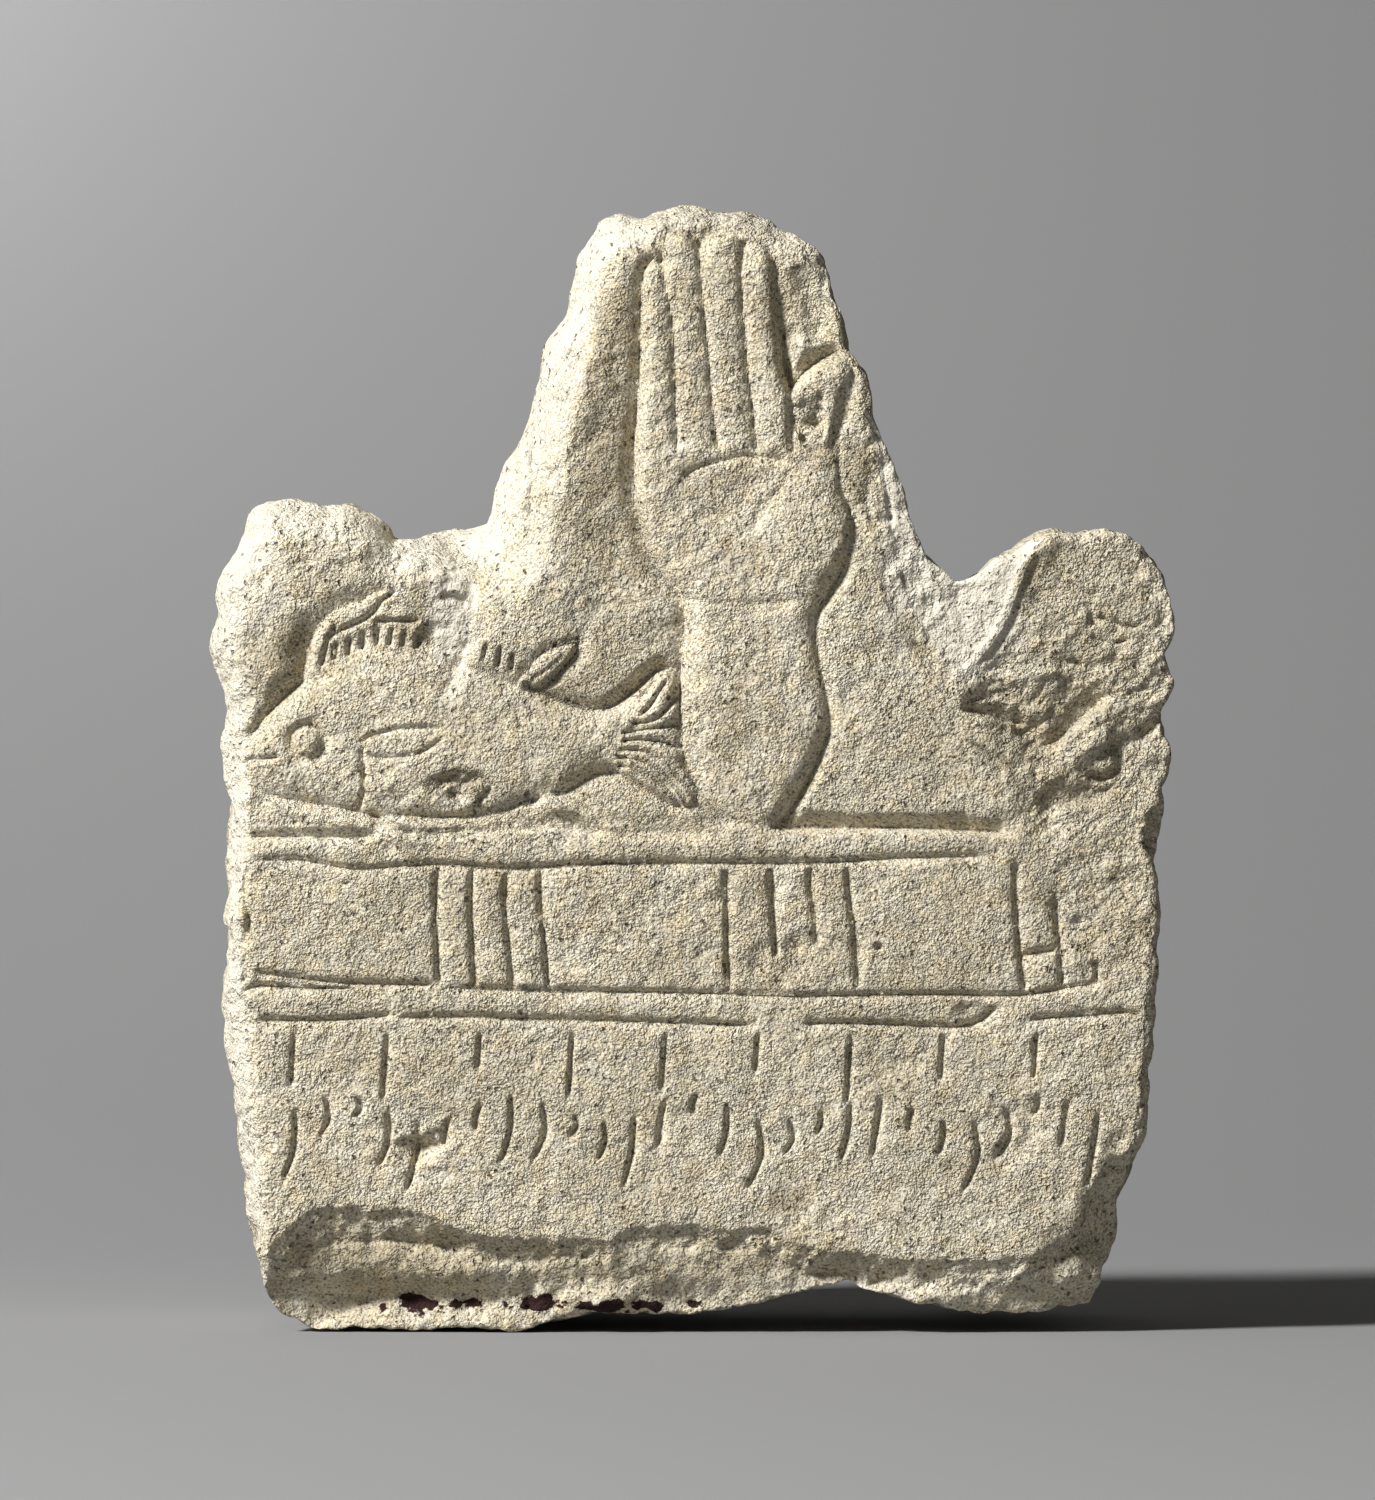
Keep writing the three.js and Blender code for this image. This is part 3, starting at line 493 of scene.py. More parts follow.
# The troughs round the figures, deeper where the list says so: x, z, depth, width.
TROUGHS = [
    (-9.5, 175, 1.0, 2.4), (-10, 160, 1.0, 2.6), (-10.5, 140, 1.2, 3), (-7, 124, 1.5, 3),
    (-3, 114, 0.6, 2.6), (-4, 100, 0.7, 2), (0, 88, 1.0, 3), (0, 182, 0.8, 2.2),
    (12, 180, 0.8, 2.2), (16, 168, 1.3, 2.6), (20, 162, 2.8, 4), (28, 157, 0.2, 1.5),
    (28, 146, 0.2, 2), (27, 138, 0.4, 2), (28.5, 130, 0.7, 2.6), (24.5, 121, 1.9, 2.2),
    (23, 113, 0.9, 2.4), (25, 103, 1.0, 2.2), (22.5, 95, 1.9, 2.2), (18.5, 87, 2.4, 2),
    (13, 81, 0.9, 2.5), (-71, 100, 2.2, 2.6), (-67, 106, 2.8, 4.4), (-64.5, 113, 2.9, 5.5),
    (-59, 120, 1.5, 4), (-48, 122, 0.9, 3), (-38, 112, 0.8, 2.4), (-31, 109, 1.2, 3),
    (-22, 115, 0.2, 1.5), (-28, 112, 0.4, 1.5), (-20, 108, 1.8, 3), (-16, 104, 2.5, 2.8),
    (-9, 108, 2.9, 2.8), (-12, 90, 1.8, 3.4), (-5, 87, 1.7, 2.4), (-24, 86, 1.4, 2.6),
    (-40, 83.5, 1.0, 2), (-55, 84, 1.1, 2), (-68, 86, 1.2, 2.4), (-75, 92, 0.8, 2),
]
total = np.zeros_like(x)
trough_depth, trough_width = np.zeros_like(x), np.zeros_like(x)
for place_x, place_z, depth, width in TROUGHS:
    weight = 1 / (((x - place_x) ** 2 + (z - place_z) ** 2) ** 1.5 + 8)
    total += weight
    trough_depth += weight * depth
    trough_width += weight * width
trough_depth /= total
trough_width /= total
arm_in = depth_inside(curve(ARM, 3, True), x, z)
fish_in = depth_inside(curve(FISH, 3, True), x, z)
dorsal_in = depth_inside(curve(DORSAL_FIN, 3, True), x, z)
second_in = depth_inside(curve(SECOND_FIN, 3, True), x, z)
outside = np.maximum(-np.maximum(np.maximum(arm_in, fish_in), np.maximum(dorsal_in, second_in)), 0)
height -= upper * trough_depth * np.clip(1 - outside / trough_width, 0, 1) ** 1.5

# The mound between the fish's back and the hand.
mound = np.clip(1 - ((x + 17) / 17) ** 2 - ((z - 119) / 13) ** 2, 0, 1)
height += 1.3 * mound * (outside > 0)

# The ledge over the frieze: the field dips to it and the band's rim rises again. A low ridge runs
# down from the fish's tail to the band.
valley([(13, 83.1), (28, 83.1), (40, 83), (54, 82.2)], 2.7, 2.8, 1.1)
valley([(-74, 81.6), (-66, 81.7), (-57, 81.6), (-51, 82)], 1.5, 2, 1.2)
valley([(-46, 82.4), (-38, 82.6), (-30, 83), (-22, 83.4), (-16, 82.8), (-8, 82.4), (6, 82.4)],
       1.2, 2.8, 1.4)
valley([(-25, 88.2), (-20, 86.4), (-15.6, 84.2), (-11, 82)], -1.3, 1.4, 2)
valley([(-52, 85.4), (-46, 83.8), (-42, 83.4), (-38, 84)], -0.8, 1.2, 1.6)
valley([(-70, 87), (-64, 86), (-58, 85), (-51, 82.6), (-45, 80.4)], -0.9, 1.6, 3)


# The figures rise from the troughs with rounded rims.
def raised(inside, top_height, rim, fullness):
    """Lifts the face inside an outline to top_height, along a rounded rim of this width: the part
    of the rise made at a share t of the rim is (1 - (1 - t) ** 2) ** fullness."""
    global height
    share = np.clip(inside / rim, 0, 1)
    part = (1 - (1 - share) ** 2) ** fullness
    height = np.where(inside > 0, height + (top_height - height) * part, height)


texture = 0.05 * noise(flat, 3, 9) + 0.03 * noise(flat, 1.4, 10)
raised(dorsal_in, -0.9 + 2 * texture, 1.8, 0.8)
raised(second_in, 0.1 + texture, 1.6, 0.8)
raised(fish_in, 0.45 + 0.12 * noise(flat, 9, 5) + texture, 5.6, 0.62)
lobe_in = depth_inside(curve(TAIL_LOBE, 3, True), x, z)
raised(lobe_in, 0.7 + texture, 1.8, 0.8)
arm_rim = 2.7 + ramp(136, 118, z) * (1.7 + 2 * ramp(5, 0, x))
raised(arm_in, 0.45 + 0.18 * noise(flat, 10, 6) + texture, arm_rim, 0.62)

# The long pale scar from the left notch down to the fish's back.
valley([(-39.4, 137), (-37.4, 130), (-36, 122), (-36.4, 115), (-37.4, 109)], 1.5, 3.4, 12, 1.0)
valley([(-37, 114), (-38, 109.6), (-39.2, 107), (-40.6, 105)], 1.0, 2.4, 3.4, 1.2)
valley([(-41, 121.6), (-38.8, 121), (-36.6, 120.4)], 1.0, 0.8, 1.4, 0.8)

# The palm: a hollow under the fingers, the ball of the thumb and the pitted thumb itself.
palm = np.clip(1 - ((x - 5) / 10) ** 2 - ((z - 136) / 6.5) ** 2, 0, 1)
ball = np.clip(1 - ((x - 18.6) / 7.6) ** 2 - ((z - 132.5) / 9.5) ** 2, 0, 1)
height += (arm_in > 0) * (1.1 * ball**0.7 - 0.9 * palm * (ball == 0))

# Grooves. Where they meet, the deepest one counts.
grooves = np.zeros_like(x)


def cut(line, width, depth, power=1.2, ends=0.06):
    """Deepens the grooves by depth * (1 - distance / half width) ** power beside a line. The first
    and last parts of the line run out to nothing."""
    line = curve(line, 5)
    low, high = line.min(0) - width, line.max(0) + width
    near = np.flatnonzero((x > low[0]) & (x < high[0]) & (z > low[1]) & (z < high[1]))
    distance, share = along(line, x[near], z[near])[:2]
    wide = width * (1 + 0.18 * noise(flat[near], 3.5, 11) + 0.14 * noise(flat[near], 1.2, 12)) / 2
    fade = np.sqrt(np.clip(np.minimum(share, 1 - share) / ends, 0.05, 1))
    made = depth * fade * np.clip(1 - distance / wide, 0, 1) ** power
    grooves[near] = np.maximum(grooves[near], made)


for line in FRIEZE_LEVELS + UPRIGHTS:
    cut(line, 5.0, 0.45, 1.7)
    cut(line, 2.0, 1.25, 1.0)
# The panel between the two middle uprights is sunk.
height -= 0.3 * ramp(-0.4, 0.6, np.minimum(np.minimum(x - 13.4, 20.4 - x), np.minimum(z - 57, 77 - z)))
# The hand: between the fingers, left of the thumb, the crease under the fingers, the ball of the
# thumb, the wrist, and the right edge of the thumb.
for line in FINGER_GROOVES:
    cut(line, 6.0, 0.75, 1.7, ends=0.03)
    cut(line, 1.3, 1.2, 0.9, ends=0.03)
cut(THUMB_GAP, 2.6, 1.4, 1.3)
finger_crease = [(-1.6, 140.2), (0.9, 142), (4.7, 143.2), (8.4, 144.1), (11.9, 144), (16, 143.4)]
cut(finger_crease, 4.6, 0.9, 1.5)
cut(finger_crease, 2.0, 1.1, 1.1)
cut([(16.4, 141.5), (14.4, 138.4), (12.5, 136.6), (11, 133.6)], 2.4, 0.8)
cut([(-1.2, 120.8), (5, 119.9), (12, 119.8), (19.5, 120.4)], 2.6, 0.4)
cut([(-1.6, 121), (4, 120), (10, 119.9), (17, 120.2)], 0.9, 0.55)
cut([(25.7, 156.4), (24.6, 152.4), (23.7, 147.8), (23.2, 144.2)], 2.2, 0.9, 1.2, ends=0.3)
# The fish: its mouth and lip, the gill, the small fin under it, the brow, and the side fin's upper
# and lower edge.
cut([(-73.8, 93.4), (-72.2, 94.4), (-70.8, 94.4), (-67.7, 94.7)], 1.6, 1.2)
cut([(-72.6, 96.2), (-71.4, 95.2), (-71.2, 94.2)], 1.2, 0.7)
cut([(-54, 96.6), (-53.6, 92), (-53.8, 88.6), (-54.9, 86)], 1.5, 0.8)
cut([(-52.6, 85.6), (-49.5, 83.7), (-45.7, 82)], 1.8, 1.2)
cut([(-66.6, 98), (-65, 99.8), (-62.4, 101), (-60.4, 101.6)], 1.2, 0.4)
cut([(-54.6, 96.9), (-52.4, 98.2), (-48, 99.3), (-44.9, 99.5), (-41, 99.6)], 1.4, 0.7)
cut([(-53.8, 95.1), (-51, 94.7), (-47.6, 94.8), (-44, 95.6), (-40.6, 98)], 1.4, 0.7)
# The tail: the rays of its upper lobe, then those of the lower one, and its root.
for line in [
    [(-8.3, 104.5), (-7, 105.5), (-5.5, 107.6)], [(-8.1, 101.7), (-6.3, 103.6), (-3.9, 107.4)],
    [(-9.6, 100.2), (-6, 100.9), (-4.2, 102.3), (-2.2, 104.9)], [(-11.4, 98.7), (-6, 99.6), (-1.9, 99.9)],
    [(-11.4, 97.4), (-8.1, 97.6), (-4.5, 97.2), (-1.6, 96.1)],
]:
    cut(line, 1.4, 1.3, 1.0)
for line in [
    [(-12, 96), (-8, 95.8), (-4.4, 94.2), (-1.6, 91.4), (0.6, 88.4)],
    [(-12.2, 94.8), (-8.4, 94.2), (-4.8, 92.4), (-2.2, 90), (-0.6, 87.4)],
    [(-12, 93.6), (-8.6, 92.6), (-5.4, 90.8), (-3, 88.6), (-1.8, 86.6)],
]:
    cut(line, 1.25, 1.3, 1.0, ends=0.04)
cut([(-11.8, 100.8), (-12, 97.5), (-11.8, 94.2)], 1.8, 0.5)
# The two back fins: their rays and the front edges.
for line in [
    [(-60.6, 109.6), (-59.8, 113), (-58.3, 116.4)], [(-58.5, 110.7), (-58.2, 113.6)],
    [(-56.2, 111.4), (-56, 114.4)], [(-53.9, 112.4), (-53.7, 115.6)], [(-51.6, 113), (-51.4, 116)],
    [(-49.4, 113), (-49, 116)], [(-47.2, 112.8), (-46.9, 115.4)], [(-45, 112.6), (-44.6, 115)],
    [(-60.2, 114), (-57, 115.8), (-54.4, 116.9), (-52.4, 118.2), (-50.6, 120.5), (-48.5, 121.9)],
    [(-52, 117.2), (-48, 117.1), (-44.7, 117.1)],
    [(-34, 110.6), (-33.4, 113.4)], [(-31.6, 109.8), (-31.2, 112.6)], [(-29.4, 109), (-29.2, 111.6)],
]:
    cut(line, 1.3, 1.1, 1.0)
cut([(-26.4, 107.2), (-23.4, 109.2), (-20.6, 111.6)], 1.3, 0.5, 1.0)
# The eye is a low ball inside a ring that is deeper on its upper left.
eye_x, eye_z, eye_ring = -62.9, 97.2, 2.9
eye_away = np.hypot(x - eye_x, z - eye_z)
eye_shade = 1.0 + 0.3 * np.clip(((z - eye_z) - (x - eye_x)) / 3.5, -1, 1)
grooves = np.maximum(grooves, eye_shade * np.clip(1 - np.abs(eye_away - eye_ring) / 1.2, 0, 1))
height += 0.6 * np.clip(1 - (eye_away / 2.4) ** 2, 0, 1)

# The two rows of strokes, with lengths, heights and bows that vary in waves along the row.
for i in range(TALL_STROKES):
    at = STROKES_FROM + (STROKES_TO - STROKES_FROM) * (i + 0.2) / TALL_STROKES
    length = 9 + 3 * math.sin(2.3 * i)
    cut([(at, TALL_HEAD), (at - 0.06 * length, TALL_HEAD - length)], 1.5, 1.1, 1.0, ends=0.15)
for i in range(LOW_STROKES):
    at = STROKES_FROM + (STROKES_TO - STROKES_FROM) * (i + 0.6) / LOW_STROKES
    length = 7.5 + 4.5 * math.cos(1.7 * i)
    head = LOW_HEAD + 2.2 * math.sin(1.1 * i)
    bow = 0.8 * math.sin(0.9 * i)
    cut([(at, head), (at + bow, head - length / 2), (at - 0.16 * length, head - length)], 1.5, 1.15,
        1.0, ends=0.15)
height -= grooves

# Chips and scoops, with ragged borders.
for place_x, place_z, half_x, half_z, depth in SCOOPS:
    share = ((x - place_x) / half_x) ** 2 + ((z - place_z) / half_z) ** 2
    share = share + 0.35 * noise(flat, 2.6, 21)
    height -= depth * np.clip(1 - share, 0, 1) ** 0.8
# A small round hole in the panel right of the middle uprights.
pit_x, pit_z = 30.9, 63.6
pit_away = np.hypot(x - pit_x, z - pit_z)
height -= 1.2 * np.clip(1 - pit_away / 0.8, 0, 1) ** 0.5

# Breaks: the notch right of the gable, the split right shoulder and the broken lower edge.
notch_in = depth_inside(np.array(NOTCH, float), x, z)
# The gable falls away a little towards the notch.
height -= 0.07 * np.clip(x - 27, 0, 9) * ramp(106, 114, z) * ramp(152, 140, z) * ramp(50, 44, x)
notch_right = NOTCH[7:14]
notch_side = along(curve(notch_right), x, z)[0]
notch_floor = (height - np.minimum(0.05 * notch_in, 0.3 * notch_side)
               - (0.35 + 0.25 * noise(flat, 4, 24)) * ramp(0, 0.8, notch_in))
height = np.where(notch_in > 0, notch_floor, height)
split_in = np.where(notch_in > 0, 0, depth_inside(np.array(SPLIT, float), x, z))
# Two squares of the frieze stay whole inside the split.
squares = (np.minimum(np.minimum(x - 54.8, 60.2 - x), np.minimum(z - 55.8, 62.4 - z)),
           np.minimum(np.minimum(x - 61.2, 66.2 - x), np.minimum(z - 57.2, 62.2 - z)))
split = np.where(z > 104, ramp(0, 4.6, split_in), ramp(0, 7, split_in))
split *= 1 - ramp(-0.3, 0.3, np.maximum(*squares))
low_split = ramp(74, 96, z)
height -= split * (0.4 + 0.8 * low_split + 0.6 * low_split * noise(flat, 13, 22))
height -= split * low_split * 0.02 * np.clip(x - 50, 0, 30)
rough = np.maximum(rough, split * (0.5 + 0.2 * low_split - 0.35 * ramp(108, 116, z) * ramp(79, 72, x)))
# Cracks, steps and dents of the split shoulder.
valley([(57, 128), (54.4, 122), (52.4, 116.8), (49.6, 112.4), (46.8, 109.4)], 0.7, 1.4, 0.5)
valley([(45.6, 106.4), (50, 107.6), (55, 108.4), (61, 108.6)], -1.3, 1.8, 2.6)
valley([(36.5, 114), (40, 110.4), (43.6, 107.4)], 0.8, 0.6, 2.6)
valley([(44.6, 102.8), (47.6, 102), (51, 101), (55, 100.2)], 1.9, 2.6, 0.8)
valley([(53, 100.4), (56.4, 96.6), (60, 97.4), (64.6, 101.6), (69, 105.4)], 2.6, 6, 1.6)
valley([(57, 92), (61, 93.6), (66, 97), (71, 100)], -0.8, 1.6, 3)
valley([(68.5, 97), (73.5, 97.6), (78, 102)], 1.6, 5, 1.6)
valley([(57, 86), (62, 87.4), (67, 88.4), (70.4, 90.4)], 1.5, 4.4, 1.6)
valley([(66.4, 94.6), (69.6, 96.4), (70.6, 93.4), (68, 91), (65.4, 92.4)], 1.2, 0.8, 1.6)
valley([(46, 97), (50, 94.6), (54, 92.6)], 0.8, 1, 0.6)
valley([(55, 121.6), (59.4, 118.6), (61, 114)], 0.5, 0.5, 1.2)
valley([(62, 124), (65.5, 120.4), (66.2, 116)], 0.7, 0.4, 1.1)
valley([(67, 118), (70.5, 116.4), (74, 116)], 1.0, 0.8, 0.5)
valley([(65.4, 114.6), (69.4, 113.4), (72, 114)], 0.8, 0.8, 0.5)
valley([(62, 110.6), (66, 109.6), (71, 110.4), (75, 108.4)], 0.8, 1.4, 0.6)

# The broken lower edge: under a ragged line the face falls back steeply, then gently.
edge_z = np.interp(x, *np.array(LOWER_EDGE, float).T)
edge_z += 0.6 * noise(flat, 6, 31) + 0.5 * noise(flat, 2.2, 33) + 0.35 * noise(flat, 1.0, 34)
below = np.maximum(edge_z - z, 0)
stretched = np.stack([x / 2.6, np.zeros_like(x), z], 1)
fall = np.clip(5.2 + 3 * noise(stretched, 6, 35), 2.8, 8.5)
steep = np.clip(0.52 + 0.36 * noise(stretched, 5, 32) + 0.07 * noise(flat, 2.2, 36), 0.15, 0.95)
height -= steep * np.minimum(below, fall) + 0.2 * np.maximum(below - fall, 0)
height -= 0.15 * ramp(0, 0.8, below) * (1 + noise(flat, 5, 37))
rough = np.maximum(rough, 0.5 * ramp(0, 0.6, below) * (1 - 0.7 * ramp(fall, fall + 2, below)))

# A piece is gone above the right end of the break, and a flat chip from its left end.
corner = [(55, 10), (58, 17), (62, 20), (65, 27), (69, 34), (73, 34), (74, 8)]
corner_gone = depth_inside(np.array(corner, float), x, z)
height -= 0.28 * np.clip(corner_gone + 0.4 * noise(flat, 2.5, 38), 0, 6)
left_end = [(-70, 9), (-54, 9.8), (-52.4, 4.5), (-60, 1), (-70, 0)]
facet = depth_inside(np.array(left_end, float), x, z)
height -= 0.8 * ramp(0, 0.8, facet)

# The worn edge all round.
edge_away, edge_share = along(np.vstack([outline, outline[:1]])[::4], x, z)[:2]
total = np.zeros_like(x)
wear_width, wear_depth = np.zeros_like(x), np.zeros_like(x)
for place_x, place_z, width, depth in EDGE_WEAR:
    weight = 1 / (((x - place_x) ** 2 + (z - place_z) ** 2) ** 2 + 1)
    total += weight
    wear_width += weight * width
    wear_depth += weight * depth
wear_width = 1.15 * wear_width / total * (1 + 0.22 * noise(flat, 7, 41) + 0.12 * noise(flat, 3, 42))
wear_depth /= total
bottom_fade = ramp(8, 22, z)
worn = np.clip(1 - edge_away / wear_width, 0, 1)
height -= bottom_fade * wear_depth * (0.75 * worn**1.9 + 0.25 * worn**5)
rough = np.maximum(rough, bottom_fade * ramp(0, 0.25, worn) * 0.5)

# How strongly chips break the face: a little everywhere, less in the notch, more in the patches.
rough = np.maximum(rough, 0.1 + upper * 0.08 + 0.14 * ramp(0, 0.6, noise(flat, 12, 23)))
rough *= 1 - 0.6 * (notch_in > 0)
for place_x, place_z, half_x, half_z, strength in ROUGH_PATCHES:
    share = ((x - place_x) / half_x) ** 2 + ((z - place_z) / half_z) ** 2 + 0.4 * noise(flat, 4, 25)
    rough = np.maximum(rough, strength * ramp(1.2, 0.4, share))
# Chips run in streaks that rise to the right by 35 degrees. The furrows on the back cross them.
LEAN_COS, LEAN_SIN = 0.82, 0.57
streak = np.stack([(LEAN_COS * x + LEAN_SIN * z) / 1.7, np.zeros_like(x), LEAN_COS * z - LEAN_SIN * x], 1)
height -= rough * (1.3 * (flakes(streak, 6.5, 51) - 0.15) + 1.1 * (flakes(streak, 3.0, 52) - 0.15)
                   + 0.75 * (flakes(streak, 1.5, 53) - 0.15) + 0.4 * (flakes(flat, 0.9, 54) - 0.15))

# Where the stone is pale or dirty, and the painted shade in the hollow in front of the dorsal fin.
pale = np.clip(ramp(0.02, 0.4, worn) * bottom_fade, 0, 1) * (0.75 - 0.35 * ramp(-20, 30, x))
dirt_and_shade = np.zeros_like(x)
for patches, layer in ((PALE_PATCHES, pale), (DIRT_AND_SHADE_PATCHES, dirt_and_shade)):
    for place_x, place_z, half_x, half_z, strength in patches:
        share = ((x - place_x) / half_x) ** 2 + ((z - place_z) / half_z) ** 2
        share = share + 0.5 * noise(flat, 4.5, 71) + 0.3 * noise(flat, 1.8, 72)
        layer[:] = np.maximum(layer, strength * ramp(1.25, 0.2, share))
pale[notch_in > 0] = 1
# The grain is weaker in the break, on the figures, on the band's rim and where the stone is pale.
grain = 1 - 0.6 * ramp(0, 2, below)
grain *= 1 - 0.3 * ramp(-0.5, 1, np.maximum(arm_in, fish_in)) - 0.3 * ramp(1, 4, z - 78) * (z < 84)
grain *= 1 - 0.6 * np.clip(pale, 0, 1)

# The sides and the back. Rings of points run back from the border of the face, with fewer points
# in each ring as they go, and a coarse grid closes the back. Chips push the border and the rings in
# or out across the outline, and fade out on the face within 4 mm of the border.
#
# The outward direction at a point of the border is taken over this many points either way.
reach = 12
outward = np.roll(outline, -reach, 0) - np.roll(outline, reach, 0)
outward = np.stack([outward[:, 1], -outward[:, 0]], 1)
outward /= np.linalg.norm(outward, axis=1, keepdims=True)


def chipped(places):
    """How far chips move a point of the side outward, in millimetres: two sizes of flakes over a
    slow swell and a fine grain. Away from the face, broad spalls come in as well."""
    spalls = 2.6 * flakes(places, 23, 65) + 1.2 * flakes(places, 13, 66) + 0.9
    spalls = ramp(14, 30, places[:, 1]) * spalls
    return (0.6 * noise(places, 13, 61) - 1.5 * (flakes(places, 8, 62) - 0.1) - np.maximum(spalls, 0)
            - 0.8 * (flakes(places, 3.2, 63) - 0.1) + 0.1 * noise(places, 1.3, 64) - 0.25)


border_share = np.append(0, np.cumsum(np.hypot(*np.diff(np.vstack([outline, outline[:1]]), axis=0).T)))
border_share /= border_share[-1]
near = np.flatnonzero(edge_away < 4)
facing = np.stack([np.interp(edge_share[near], border_share, np.append(outward[:, k], outward[0, k]))
                   for k in (0, 1)], 1)
moved = ramp(4, 0, edge_away[near]) * chipped(np.stack([x[near], -height[near], z[near]], 1))
x[near] += facing[:, 0] * moved
z[near] += facing[:, 1] * moved
points = [np.stack([x, -height, z], 1)]
corners = [numbers[:-1, :-1], numbers[:-1, 1:], numbers[1:, 1:], numbers[1:, :-1]]
faces = [np.stack(corners, -1).reshape(-1, 4)]
fans = []
count = len(x)
ring = border
# The rings shrink towards this middle. At two of them every second point is left out, so the grid on
# the back takes every fourth line of the face's grid.
middle = np.array([0.0, 80.0])
halved_at = (6, 12)
ring_depths = [0.015, 0.03, 0.05, 0.075, 0.1, 0.13, 0.16, 0.2, 0.24, 0.28, 0.32, 0.36, 0.4, 0.45,
               0.5, 0.55, 0.6, 0.65, 0.7, 0.75, 0.8, 0.85, 0.89, 0.92, 0.945, 0.965, 0.98, 0.99]
start = -height[border]
spots = outline
for number, share in enumerate(ring_depths):
    if number in halved_at:
        kept = ring[::2]
        start, spots, outward = start[::2], spots[::2], outward[::2]
    else:
        kept = ring
    depth = start + (THICKNESS - start) * share
    round_back = ramp(0.8, 1.0, share) ** 1.5
    shrink = 1 - TAPER * share - ROUND_EDGE * round_back
    place = middle + (spots - middle) * shrink
    moved = chipped(np.stack([place[:, 0], depth, place[:, 1]], 1))
    place = place + outward * (moved * (1 - round_back))[:, None]
    fresh = np.arange(count, count + len(kept))
    points.append(np.stack([place[:, 0], depth + moved * round_back, place[:, 1]], 1))
    count += len(kept)
    after = np.roll(fresh, -1)
    if len(kept) == len(ring):
        faces.append(np.stack([ring, fresh, after, np.roll(ring, -1)], -1))
    else:
        first, between, last = ring[::2], ring[1::2], np.roll(ring, -2)[::2]
        fans += [np.stack([first, fresh, between], -1), np.stack([between, fresh, after], -1),
                 np.stack([between, after, last], -1)]
    ring = fresh
coarse = face[::4, ::4]
back_rows, back_columns = coarse.shape[:2]
back_numbers = np.full((back_rows, back_columns), -1)
back_numbers[0, :-1] = ring[: back_columns - 1]
back_numbers[:-1, -1] = ring[back_columns - 1: back_columns + back_rows - 2]
back_numbers[-1, :0:-1] = ring[back_columns + back_rows - 2: 2 * back_columns + back_rows - 3]
back_numbers[:0:-1, 0] = ring[2 * back_columns + back_rows - 3:]
inner = back_numbers < 0
back_place = middle + (coarse[inner] - middle) * (1 - TAPER - ROUND_EDGE)
back_numbers[inner] = np.arange(count, count + inner.sum())
count += inner.sum()
back = np.stack([back_place[:, 0], np.full(len(back_place), THICKNESS), back_place[:, 1]], 1)
# The back is hewn with a point: slanting furrows in patches, over the spalls. Across a furrow, its
# depth is a share (1 - |sin|) ** 2 of the whole.
FURROW_PITCH, FURROW_DEPTH = 9, 1.5
furrow = LEAN_COS * back[:, 0] + LEAN_SIN * back[:, 2] + 4 * noise(back, 30, 67)
furrow = (1 - np.abs(np.sin(math.pi * furrow / FURROW_PITCH))) ** 2
furrow *= ramp(-0.35, 0.25, noise(back, 34, 68))
rim_x, rim_z = place[None, ::4, 0], place[None, ::4, 1]
from_edge = np.min(np.hypot(back[:, None, 0] - rim_x, back[:, None, 2] - rim_z), 1)
back[:, 1] += chipped(back) - FURROW_DEPTH * furrow * ramp(1, 8, from_edge)
points.append(back)
faces.append(np.stack([back_numbers[:-1, :-1], back_numbers[1:, :-1], back_numbers[1:, 1:],
                       back_numbers[:-1, 1:]], -1).reshape(-1, 4))
points = np.vstack(points)
quads = np.vstack(faces)
triangles = np.vstack([quads[:, [0, 1, 2]], quads[:, [0, 2, 3]]] + fans)

# The stone stays inside the box of its solid, and its underside is flat where it rests.
low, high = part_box("stele")
low, high = np.array(low) * 1000, np.array(high) * 1000
points[:, 1] += high[1] - THICKNESS
points = np.clip(points, low + [0.1, 0.1, 0], high - [0.1, 0.1, 0.05]) / 1000

stone_mesh = bpy.data.meshes.new("stele_stone")
stone_mesh.vertices.add(len(points))
stone_mesh.vertices.foreach_set("co", points.ravel())
stone_mesh.loops.add(3 * len(triangles))
stone_mesh.loops.foreach_set("vertex_index", triangles.ravel().astype(np.int32))
stone_mesh.polygons.add(len(triangles))
stone_mesh.polygons.foreach_set("loop_start", np.arange(0, 3 * len(triangles), 3, dtype=np.int32))
stone_mesh.update(calc_edges=True)
# The layers that the material reads. Off the face they follow soft patches.
spots = points * 1000
patches = noise(spots, 24, 73) + 0.5 * noise(spots, 9, 74)
for name, values, rest in (("pale", pale, 0.35 - 0.35 * patches), ("dirt_and_shade", dirt_and_shade, 0.45 + 0.6 * patches),
                           ("grain", grain, np.full_like(patches, 0.6)),
                           ("broken", rough, 0.8 - 0.2 * patches)):
    whole = np.clip(rest, 0, 1).astype(np.float32)
    whole[: len(x)] = values
    layer = stone_mesh.attributes.new(name, "FLOAT", "POINT")
    layer.data.foreach_set("value", whole)
stone = bpy.data.objects.new("stele_stone", stone_mesh)
bpy.context.scene.collection.objects.link(stone)
# The flat stretches are thinned, until the mesh has as many triangles as it may.
thin = stone.modifiers.new("thin", "DECIMATE")
thin.ratio = TRIANGLES / len(triangles)
made = bpy.data.meshes.new_from_object(stone.evaluated_get(bpy.context.evaluated_depsgraph_get()))
stone.modifiers.remove(thin)
stone.data = made
bpy.data.meshes.remove(stone_mesh)
made.name = "stele_stone"
made.polygons.foreach_set("use_smooth", [True] * len(made.polygons))
print("stone:", len(made.polygons), "triangles of", len(triangles))
